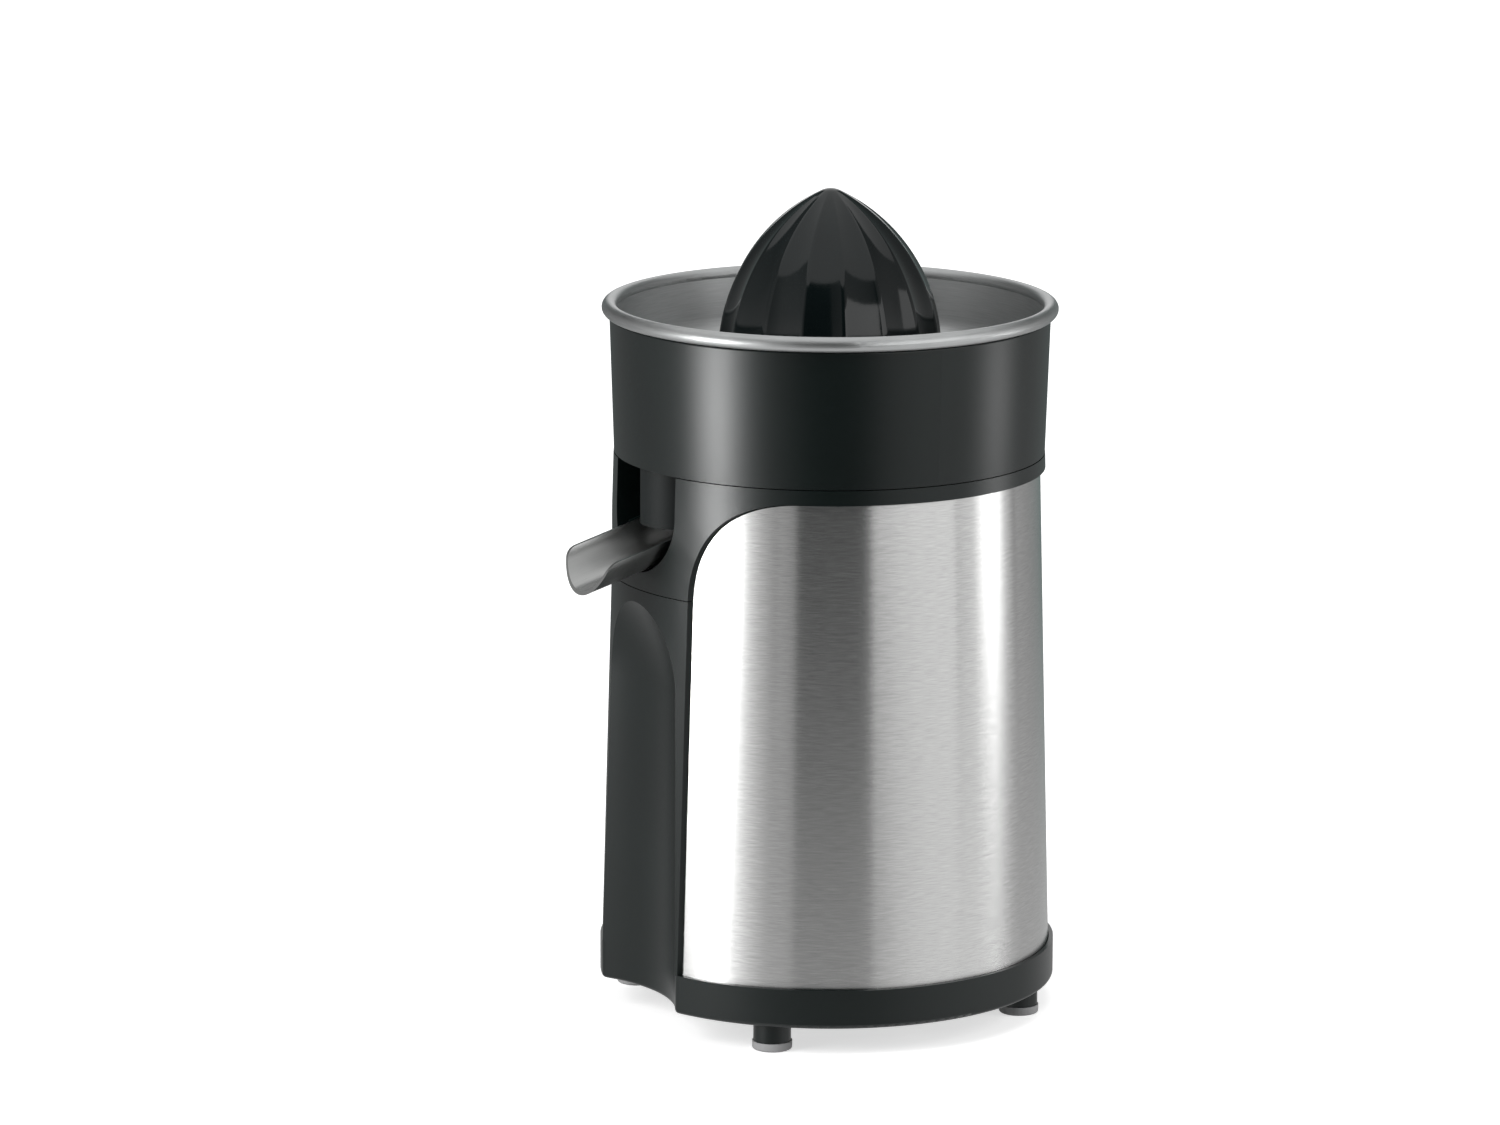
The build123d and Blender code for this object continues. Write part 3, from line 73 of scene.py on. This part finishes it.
def math_node(tree, operation, first, second=None):
    """A Math node whose inputs are sockets or numbers; gives its output socket."""
    node = tree.nodes.new("ShaderNodeMath")
    node.operation = operation
    for socket, value in zip(node.inputs, (first, second)):
        if value is None:
            continue
        if isinstance(value, (int, float)):
            socket.default_value = value
        else:
            tree.links.new(value, socket)
    return node.outputs[0]


def noise(tree, vector, scale, detail=2.0, roughness=0.5):
    """Noise texture over the given coordinates; gives its factor socket."""
    node = tree.nodes.new("ShaderNodeTexNoise")
    node.inputs["Scale"].default_value = scale
    node.inputs["Detail"].default_value = detail
    node.inputs["Roughness"].default_value = roughness
    tree.links.new(vector, node.inputs["Vector"])
    return node.outputs["Fac"]


def ramp(tree, factor, *stops):
    """Colour ramp from (position, colour) stops; gives its colour socket."""
    node = tree.nodes.new("ShaderNodeValToRGB")
    elements = node.color_ramp.elements
    while len(elements) < len(stops):
        elements.new(0.5)
    for element, (position, colour) in zip(elements, stops):
        element.position = position
        element.color = (*colour, 1.0)
    tree.links.new(factor, node.inputs["Fac"])
    return node.outputs["Color"]


def remap(tree, factor, low, high):
    """Maps a 0 to 1 factor onto another range."""
    node = tree.nodes.new("ShaderNodeMapRange")
    node.inputs["To Min"].default_value = low
    node.inputs["To Max"].default_value = high
    tree.links.new(factor, node.inputs["Value"])
    return node.outputs["Result"]


def tones(tree, factor, colour, darker, lighter, margin):
    """Ramp from a darker to a lighter share of one colour, level over the margin at each end."""
    dark, light = (tuple(channel * share for channel in colour) for share in (darker, lighter))
    return ramp(tree, factor, (margin, dark), (1.0 - margin, light))


def bump(tree, height, distance):
    """Bump node of a real height in metres; gives its normal socket."""
    node = tree.nodes.new("ShaderNodeBump")
    node.inputs["Distance"].default_value = distance
    node.inputs["Strength"].default_value = 1.0
    tree.links.new(height, node.inputs["Height"])
    return node.outputs["Normal"]


def object_vector(tree):
    """Object coordinates, which are metres in the model's frame."""
    return tree.nodes.new("ShaderNodeTexCoord").outputs["Object"]


def brushed_vector(tree, across, along, flat=True):
    """Coordinates stretched round the vertical axis, for brushing in rings; flat draws rings on level faces too."""
    split = tree.nodes.new("ShaderNodeSeparateXYZ")
    tree.links.new(object_vector(tree), split.inputs[0])
    x, y, z = split.outputs
    radius = math_node(
        tree, "SQRT", math_node(tree, "ADD", math_node(tree, "MULTIPLY", x, x), math_node(tree, "MULTIPLY", y, y))
    )
    join = tree.nodes.new("ShaderNodeCombineXYZ")
    for side, socket in ((x, join.inputs[0]), (y, join.inputs[1])):
        tree.links.new(math_node(tree, "MULTIPLY", math_node(tree, "DIVIDE", side, radius), along), socket)
    height = math_node(tree, "MULTIPLY", math_node(tree, "ADD", z, radius) if flat else z, across)
    tree.links.new(height, join.inputs[2])
    return join.outputs[0]


def stretched_vector(tree, scale):
    """Object coordinates scaled by a different amount along each axis."""
    node = tree.nodes.new("ShaderNodeVectorMath")
    node.operation = "MULTIPLY"
    node.inputs[1].default_value = scale
    tree.links.new(object_vector(tree), node.inputs[0])
    return node.outputs[0]


# ---------------------------------------------------------------- materials

quarter_turn = 0.25             # turns the anisotropic highlight across the brushing
mottle_scale = 28.0             # of the slow change of tone in moulded plastic, per metre
wave_scale = 90.0               # of the unevenness of polished plastic
speck_scale = 1400.0
wave_height = 0.00006
gloss_roughness = (0.06, 0.13)
gloss_specular = 0.38


def brushed_metal(
    name, colour, roughness, vector_of, spread=0.10, depth=0.000004, anisotropic=0.7, tangent=True, contrast=0.14
):
    """Metal with fine brushing lines in its colour, roughness and relief."""
    material, tree, shader = new_material(name)
    lines = noise(tree, vector_of(tree), 1.0, detail=3.0, roughness=0.6)
    tone = tones(tree, lines, colour, 1.0 - contrast, 1.0 + contrast, 0.30)
    tree.links.new(tone, shader.inputs["Base Color"])
    tree.links.new(remap(tree, lines, roughness - spread, roughness + spread), shader.inputs["Roughness"])
    tree.links.new(bump(tree, lines, depth), shader.inputs["Normal"])
    shader.inputs["Metallic"].default_value = 1.0
    shader.inputs["Anisotropic"].default_value = anisotropic
    if tangent:
        shader.inputs["Anisotropic Rotation"].default_value = quarter_turn
        around = tree.nodes.new("ShaderNodeTangent")
        around.direction_type = "RADIAL"
        around.axis = "Z"
        tree.links.new(around.outputs[0], shader.inputs["Tangent"])
    return material


def moulded_plastic(name, colour, roughness, grain=2600.0, depth=0.000012, variation=0.06, specular=0.5):
    """Moulded plastic with a fine spark-eroded grain."""
    material, tree, shader = new_material(name)
    vector = object_vector(tree)
    fine = noise(tree, vector, grain, detail=2.0)
    mottle = noise(tree, vector, mottle_scale, detail=3.0)
    tree.links.new(tones(tree, mottle, colour, 0.90, 1.12, 0.35), shader.inputs["Base Color"])
    tree.links.new(remap(tree, fine, roughness - variation, roughness + variation), shader.inputs["Roughness"])
    tree.links.new(bump(tree, fine, depth), shader.inputs["Normal"])
    shader.inputs["Specular IOR Level"].default_value = specular
    return material


def gloss_plastic(name, colour):
    """Polished plastic with the faintest unevenness."""
    material, tree, shader = new_material(name)
    vector = object_vector(tree)
    waves = noise(tree, vector, wave_scale, detail=2.0)
    specks = noise(tree, vector, speck_scale, detail=1.0)
    tree.links.new(tones(tree, waves, colour, 1.0, 1.2, 0.30), shader.inputs["Base Color"])
    tree.links.new(remap(tree, specks, *gloss_roughness), shader.inputs["Roughness"])
    tree.links.new(bump(tree, waves, wave_height), shader.inputs["Normal"])
    shader.inputs["Specular IOR Level"].default_value = gloss_specular
    return material


def layered(name, first, second, pitch, roughness, metallic):
    """Two tones in thin level layers, as laminated sheet or wound wire."""
    material, tree, shader = new_material(name)
    split = tree.nodes.new("ShaderNodeSeparateXYZ")
    tree.links.new(object_vector(tree), split.inputs[0])
    wave = math_node(tree, "SINE", math_node(tree, "MULTIPLY", split.outputs[2], 2 * pi / pitch))
    level = math_node(tree, "ADD", math_node(tree, "MULTIPLY", wave, 0.5), 0.5)
    tree.links.new(ramp(tree, level, (0.25, first), (0.75, second)), shader.inputs["Base Color"])
    tree.links.new(bump(tree, level, pitch / 4), shader.inputs["Normal"])
    shader.inputs["Roughness"].default_value = roughness
    shader.inputs["Metallic"].default_value = metallic
    return material


looks = {
    "brushed_steel": brushed_metal(
        "brushed_steel",
        (0.62, 0.62, 0.615),
        0.24,
        lambda tree: brushed_vector(tree, 3600.0, 14.0, flat=False),
        spread=0.025,
        depth=0.0000006,
        anisotropic=0.97,
        contrast=0.10,
    ),
    "bowl_steel": brushed_metal(
        "bowl_steel",
        (0.465, 0.475, 0.475),
        0.42,
        lambda tree: brushed_vector(tree, 3000.0, 7.0),
        spread=0.05,
        depth=0.000001,
        anisotropic=0.5,
        contrast=0.10,
    ),
    # Spout: smooth steel of its own finish, but its darker colour is painted shade, standing in for the dim
    # reflections the spout shows in its slot.
    "spout_steel_painted_shade": brushed_metal(
        "spout_steel_painted_shade",
        (0.42, 0.425, 0.42),
        0.28,
        lambda tree: stretched_vector(tree, (1800.0, 25.0, 25.0)),
        spread=0.015,
        depth=0.0000002,
        anisotropic=0.0,
        tangent=False,
        contrast=0.03,
    ),
    "black_plastic": moulded_plastic(
        "black_plastic", (0.0025, 0.0058, 0.0054), 0.32, depth=0.000006, variation=0.04, specular=0.38
    ),
    "dull_plastic": moulded_plastic("dull_plastic", (0.0050, 0.0075, 0.0075), 0.62, specular=0.25),
    "gloss_black_plastic": gloss_plastic("gloss_black_plastic", (0.0030, 0.0050, 0.0052)),
    "inner_plastic": moulded_plastic("inner_plastic", (0.045, 0.046, 0.048), 0.55, grain=1800.0),
    "gear_plastic": moulded_plastic("gear_plastic", (0.78, 0.76, 0.70), 0.42, grain=1500.0),
    "light_rubber": moulded_plastic("light_rubber", (0.34, 0.34, 0.345), 0.62, grain=1500.0, depth=0.00002),
    "dark_rubber": moulded_plastic("dark_rubber", (0.020, 0.020, 0.020), 0.68, grain=1300.0, depth=0.00002),
    "bright_steel": brushed_metal(
        "bright_steel",
        (0.60, 0.60, 0.60),
        0.24,
        lambda tree: brushed_vector(tree, 3000.0, 20.0),
        spread=0.06,
        anisotropic=0.3,
    ),
    "screw_steel": brushed_metal(
        "screw_steel",
        (0.46, 0.46, 0.47),
        0.32,
        lambda tree: stretched_vector(tree, (900.0, 900.0, 900.0)),
        anisotropic=0.0,
        tangent=False,
    ),
    "bronze": brushed_metal(
        "bronze",
        (0.52, 0.34, 0.16),
        0.42,
        lambda tree: stretched_vector(tree, (1600.0, 1600.0, 1600.0)),
        anisotropic=0.0,
        tangent=False,
    ),
    "stack_steel": layered("stack_steel", (0.16, 0.16, 0.17), (0.34, 0.34, 0.35), 0.0010, 0.48, 1.0),
    "winding": layered("winding", (0.42, 0.13, 0.05), (0.75, 0.30, 0.12), 0.0012, 0.35, 0.0),
}

slot_of = {entry["node"]: entry["material_slot"] for entry in frame["record"]["subparts"]}
special_looks = {"strainer_bowl": "bowl_steel", "spout": "spout_steel_painted_shade", "collector_pipe": "dull_plastic"}


def dress(piece, look):
    """Gives a piece one material all over."""
    piece.data.materials.clear()
    piece.data.materials.append(looks[look])


for name, piece in nodes.items():
    dress(piece, special_looks.get(name, slot_of[name]))

# ---------------------------------------------------------------- reamer with its full flutes

reamer_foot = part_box("reamer")[0][2]
reamer_rim_height = 0.0018
reamer_tip_round = 0.0080
reamer_arc_radius = 0.0638      # the flank is one arc
reamer_arc_offset = 0.0243      # its centre beyond the axis
reamer_arc_drop = 0.0026        # and below the foot
reamer_skin = 0.0018            # the CAD cone's outer faces lie within this of the arc
flute_count = 16
flute_hollow = 0.0009           # how far a flute dips below a flat panel, at the foot
flute_turn = 8.0                # bearing of one ridge from the viewer
flute_fade = 0.12               # share of the flank over which the flutes run out below the tip
flute_steps = 12
flank_steps = 44
tip_steps = 10
rim_slack = 0.00002             # how far a corner on the rim's top may lie below it
flank_rise = 0.0002             # a face of the cone reaches at least this far above the rim
weld_distance = 0.000002
sharp_angle = 24.0              # degrees; ridges stay sharp, flutes are shaded smooth


def add_piece(name, mesh):
    """Links a new mesh object to the scene."""
    piece = bpy.data.objects.new(name, mesh)
    bpy.context.scene.collection.objects.link(piece)
    return piece


def reamer_mesh():
    """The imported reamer's inside, ribs and hub, with a new outside of flutes that meet in sharp ridges."""
    radius, offset, level = reamer_arc_radius, reamer_arc_offset, reamer_foot - reamer_arc_drop
    shape = bmesh.new()
    shape.from_mesh(nodes["reamer"].data)
    rim_top = reamer_foot + reamer_rim_height
    outside = []
    for face in shape.faces:
        spots = [corner.co for corner in face.verts]
        depths = [radius - Vector((spot.xy.length + offset, spot.z - level)).length for spot in spots]
        heights = [spot.z for spot in spots]
        above = min(heights) > rim_top - rim_slack and max(heights) > rim_top + flank_rise
        if above and max(depths) < reamer_skin:
            outside.append(face)
    bmesh.ops.delete(shape, geom=outside, context="FACES")

    tip_turn = acos(offset / (radius - reamer_tip_round))
    tip_centre = level + sqrt((radius - reamer_tip_round) ** 2 - offset**2)
    first_turn = asin((rim_top - level) / radius)
    rings = []
    for step in range(flank_steps + 1):
        turn = first_turn + (tip_turn - first_turn) * step / flank_steps
        fade = min(1.0, (flank_steps - step) / (flute_fade * flank_steps))
        rings.append((radius * cos(turn) - offset, level + radius * sin(turn), fade))
    for step in range(1, tip_steps):
        turn = tip_turn + (pi / 2 - tip_turn) * step / tip_steps
        rings.append((reamer_tip_round * cos(turn), tip_centre + reamer_tip_round * sin(turn), 0.0))

    foot = rings[0][0]
    half = pi / flute_count
    first_angle = radians(viewer_bearing + flute_turn)
    columns = flute_count * flute_steps
    grid = []
    for reach, height, fade in [(foot, rim_top, 0.0)] + rings:
        ring = []
        for column in range(columns):
            across = 2.0 * (column % flute_steps) / flute_steps - 1.0
            flat = cos(half) / cos(across * half)
            dip = flute_hollow * reach / foot * (1.0 - across**2)
            place = reach - fade * (reach * (1.0 - flat) + dip)
            angle = first_angle + column * 2.0 * pi / columns
            ring.append(shape.verts.new((place * cos(angle), place * sin(angle), height)))
        grid.append(ring)
    for low, high in zip(grid, grid[1:]):
        for column in range(columns):
            following = (column + 1) % columns
            shape.faces.new((low[column], low[following], high[following], high[column]))
    tip = shape.verts.new((0.0, 0.0, tip_centre + reamer_tip_round))
    for column in range(columns):
        shape.faces.new((grid[-1][column], grid[-1][(column + 1) % columns], tip))

    bmesh.ops.remove_doubles(shape, verts=shape.verts, dist=weld_distance)
    for face in shape.faces:
        face.smooth = True
    mesh = bpy.data.meshes.new("reamer_form")
    shape.to_mesh(mesh)
    shape.free()
    mesh.set_sharp_from_angle(angle=radians(sharp_angle))
    return mesh


reamer_form = add_piece("reamer_form", reamer_mesh())
dress(reamer_form, slot_of["reamer"])
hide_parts("reamer")
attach(reamer_form, "reamer")

# ---------------------------------------------------------------- spring coil, a copy hung on the output body

spring_coil = add_piece("spring_coil", nodes["return_spring"].data.copy())
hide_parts("return_spring")
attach(spring_coil, "output")
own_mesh(spring_coil)

# ---------------------------------------------------------------- camera

camera_azimuth = 61.0
camera_pitch = 11.81
camera_roll = 0.189
sensor_width = 36.0
focal_length = 168.0
clip_end = 50.0

camera_data = bpy.data.cameras.new("camera")
camera_data.sensor_fit = "HORIZONTAL"
camera_data.sensor_width = sensor_width
camera_data.lens = focal_length
camera_data.clip_end = clip_end
camera = bpy.data.objects.new("camera", camera_data)
camera.matrix_world = (
    Matrix.Translation(camera_place)
    @ Matrix.Rotation(radians(camera_azimuth), 4, "Z")
    @ Matrix.Rotation(radians(90.0 - camera_pitch), 4, "X")
    @ Matrix.Rotation(radians(camera_roll), 4, "Z")
)
bpy.context.scene.collection.objects.link(camera)
bpy.context.scene.camera = camera

# ---------------------------------------------------------------- studio

wall_radius = 0.55
wall_bottom = -0.45
wall_top = 0.75
wall_steps = 180
lamp_gap = 0.02                 # of the lamps before the wall

ground_glow = 0.55
ground_fade = (0.28, 0.42)      # shares of the wall's height between which that glow gives way
ramp_range = 4.0                # strengths go through a colour ramp divided by this
# Bearings from the viewer, to the right, with the brightness that polished pieces see there.
wall_lights = (
    (-165, 0.16),
    (-140, 0.24),
    (-112, 0.36),
    (-92, 0.62),
    (-76, 0.84),
    (-66, 0.98),
    (-54, 1.06),
    (-44, 1.04),
    (-36, 0.74),
    (-29, 0.52),
    (-22, 0.38),
    (-17, 0.32),
    (-15, 0.01),
    (21, 0.01),
    (23, 0.46),
    (36, 0.70),
    (48, 0.82),
    (64, 0.88),
    (80, 0.90),
    (92, 0.82),
    (102, 0.66),
    (112, 0.46),
    (128, 0.36),
    (165, 0.18),
)
shade_tint = (0.80, 1.08, 1.04)
shade_level = 0.2               # stops darker than this take the tint
wall_fall = ((0.0, 1.0), (0.58, 1.0), (0.74, 0.55), (1.0, 0.40))     # brightness up the wall
# Lamps that smooth pieces mirror: name, bearings, heights, strength and its spread across.
lamps = (
    (
        "key_panel",
        (-73.0, -25.0),
        (0.085, 0.145),
        56.0,
        ((0.0, 0.0), (0.21, 0.5), (0.36, 1.0), (0.48, 0.40), (0.58, 0.11), (0.69, 0.03), (0.81, 0.01), (1.0, 0.0)),
    ),
    ("reamer_panel", (20.0, 76.0), (0.26, 0.52), 2.2, ((0.0, 1.0), (1.0, 0.8))),
    (
        "fill_panel",
        (67.0, 113.0),
        (0.085, 0.155),
        7.2,
        ((0.0, 0.0), (0.26, 0.15), (0.54, 1.0), (0.78, 0.2), (1.0, 0.0)),
    ),
)


def wall_mesh(name, radius, first, last, low, high):
    """Upright arc of wall, with the bearing kept in its UV map from 0 to 1."""
    shape = bmesh.new()
    layer = shape.loops.layers.uv.new("bearing")
    columns = []
    for step in range(wall_steps + 1):
        share = step / wall_steps
        angle = radians(viewer_bearing + first + share * (last - first))
        place = (radius * cos(angle), radius * sin(angle))
        columns.append([shape.verts.new((*place, height)) for height in (low, high)])
    for step in range(wall_steps):
        near, far = columns[step], columns[step + 1]
        face = shape.faces.new((near[0], far[0], far[1], near[1]))
        for loop, (across, up) in zip(face.loops, ((0, 0), (1, 0), (1, 1), (0, 1))):
            loop[layer].uv = ((step + across) / wall_steps, up)
    mesh = bpy.data.meshes.new(name)
    shape.to_mesh(mesh)
    shape.free()
    return mesh


def glow_tree(name):
    """A material that only glows; gives it, its tree, its UV sockets and its Emission node."""
    material = bpy.data.materials.new(name)
    material.use_nodes = True
    tree = material.node_tree
    tree.nodes.clear()
    split = tree.nodes.new("ShaderNodeSeparateXYZ")
    tree.links.new(tree.nodes.new("ShaderNodeTexCoord").outputs["UV"], split.inputs[0])
    emission = tree.nodes.new("ShaderNodeEmission")
    output = tree.nodes.new("ShaderNodeOutputMaterial")
    tree.links.new(emission.outputs[0], output.inputs["Surface"])
    return material, tree, split.outputs, emission


def grey_ramp(tree, factor, stops, share=1.0):
    """Ramp of grey levels from (position, level) stops, all multiplied by a share."""
    return ramp(tree, factor, *[(place, (level * share,) * 3) for place, level in stops])


def wall_material(name, stops, first, last):
    """Emission that follows the bearing stops round the wall."""
    material, tree, (across, up, _), emission = glow_tree(name)
    strongest = max(level for _, level in stops)
    levels = []
    for bearing, level in stops:
        tint = shade_tint if level < shade_level else (1.0, 1.0, 1.0)
        colour = tuple(level / strongest * channel for channel in tint)
        levels.append(((bearing - first) / (last - first), colour))
    round_wall = ramp(tree, across, *levels)
    ground = grey_ramp(tree, up, zip(ground_fade, (1.0, 0.0)))
    mix = tree.nodes.new("ShaderNodeMix")
    mix.data_type = "RGBA"
    mix.blend_type = "LIGHTEN"
    mix.inputs["B"].default_value = (ground_glow / strongest,) * 3 + (1.0,)
    tree.links.new(ground, mix.inputs["Factor"])
    tree.links.new(round_wall, mix.inputs["A"])
    tree.links.new(mix.outputs["Result"], emission.inputs["Color"])
    height = grey_ramp(tree, up, wall_fall, strongest / ramp_range)
    tree.links.new(math_node(tree, "MULTIPLY", height, ramp_range), emission.inputs["Strength"])
    return material


first_bearing, last_bearing = wall_lights[0][0], wall_lights[-1][0]
studio_wall = add_piece(
    "studio_wall", wall_mesh("studio_wall", wall_radius, first_bearing, last_bearing, wall_bottom, wall_top)
)
studio_wall.data.materials.append(wall_material("studio_wall", wall_lights, first_bearing, last_bearing))

panels = [studio_wall]
for name, bearings, heights, strength, spread in lamps:
    lamp = add_piece(name, wall_mesh(name, wall_radius - lamp_gap, *bearings, *heights))
    material, tree, (across, up, _), emission = glow_tree(name)
    emission.inputs["Strength"].default_value = strength
    tree.links.new(grey_ramp(tree, across, spread), emission.inputs["Color"])
    lamp.data.materials.append(material)
    panels.append(lamp)

for panel in panels:
    panel.visible_camera = False
    panel.visible_diffuse = False
    panel.visible_shadow = False
    panel.visible_transmission = False


def background_share(tree):
    """1 for rays that should see the plain white background, else 0."""
    path = tree.nodes.new("ShaderNodeLightPath")
    seen = math_node(tree, "MAXIMUM", path.outputs["Is Camera Ray"], path.outputs["Is Glossy Ray"])
    return math_node(tree, "MAXIMUM", seen, path.outputs["Is Transmission Ray"])


floor_size = 6.0                # half its side
floor_tone = 0.80
floor_roughness = 0.9
floor_glow_reach = (0.25, 1.60)     # distances over which its glow rises
floor_glow_levels = (0.62, 1.0)
world_glow_levels = (0.30, 1.0)     # for lighting, and where the background shows
floor_shape = bmesh.new()
bmesh.ops.create_grid(floor_shape, x_segments=1, y_segments=1, size=floor_size)
floor_mesh = bpy.data.meshes.new("floor")
floor_shape.to_mesh(floor_mesh)
floor_shape.free()
floor = add_piece("floor", floor_mesh)
floor.visible_glossy = False

floor_material, floor_tree, floor_shader = new_material("floor")
floor_shader.inputs["Base Color"].default_value = (floor_tone, floor_tone, floor_tone, 1.0)
floor_shader.inputs["Roughness"].default_value = floor_roughness
floor_shader.inputs["Specular IOR Level"].default_value = 0.0
floor_shader.inputs["Emission Color"].default_value = (1.0, 1.0, 1.0, 1.0)
floor_distance = floor_tree.nodes.new("ShaderNodeVectorMath")
floor_distance.operation = "LENGTH"
floor_tree.links.new(object_vector(floor_tree), floor_distance.inputs[0])
floor_far = floor_tree.nodes.new("ShaderNodeMapRange")
for end, reach, level in zip(("Min", "Max"), floor_glow_reach, floor_glow_levels):
    floor_far.inputs[f"From {end}"].default_value = reach
    floor_far.inputs[f"To {end}"].default_value = level
floor_tree.links.new(floor_distance.outputs["Value"], floor_far.inputs["Value"])
floor_glow = math_node(floor_tree, "MULTIPLY", floor_far.outputs["Result"], background_share(floor_tree))
floor_tree.links.new(floor_glow, floor_shader.inputs["Emission Strength"])
floor.data.materials.append(floor_material)

world = bpy.data.worlds.new("studio")
world.use_nodes = True
bpy.context.scene.world = world
world_tree = world.node_tree
world_background = world_tree.nodes["Background"]
world_background.inputs["Color"].default_value = (1.0, 1.0, 1.0, 1.0)
world_glow = remap(world_tree, background_share(world_tree), *world_glow_levels)
world_tree.links.new(world_glow, world_background.inputs["Strength"])


aim_height = 0.15               # about the body's middle
# Area lights: name, bearing from the viewer, height, distance, size and power.
softboxes = (
    ("key_light", -62.0, 0.9, 1.5, (0.8, 1.2), 22.0),
    ("fill_light", 80.0, 0.8, 1.6, (0.8, 1.2), 12.0),
    ("top_light", 0.0, 2.0, 0.4, (1.2, 1.2), 16.0),
)


def softbox(name, bearing, height, distance, size, power):
    """Area light aimed at the body's middle; polished pieces see the studio wall instead."""
    data = bpy.data.lights.new(name, "AREA")
    data.shape = "RECTANGLE"
    data.size, data.size_y = size
    data.energy = power
    light = bpy.data.objects.new(name, data)
    angle = radians(viewer_bearing + bearing)
    place = Vector((distance * cos(angle), distance * sin(angle), height))
    aim = Vector((0.0, 0.0, aim_height)) - place
    light.matrix_world = Matrix.Translation(place) @ aim.to_track_quat("-Z", "Y").to_matrix().to_4x4()
    light.visible_glossy = False
    bpy.context.scene.collection.objects.link(light)


for settings in softboxes:
    softbox(*settings)

bpy.context.scene.view_settings.view_transform = "Standard"
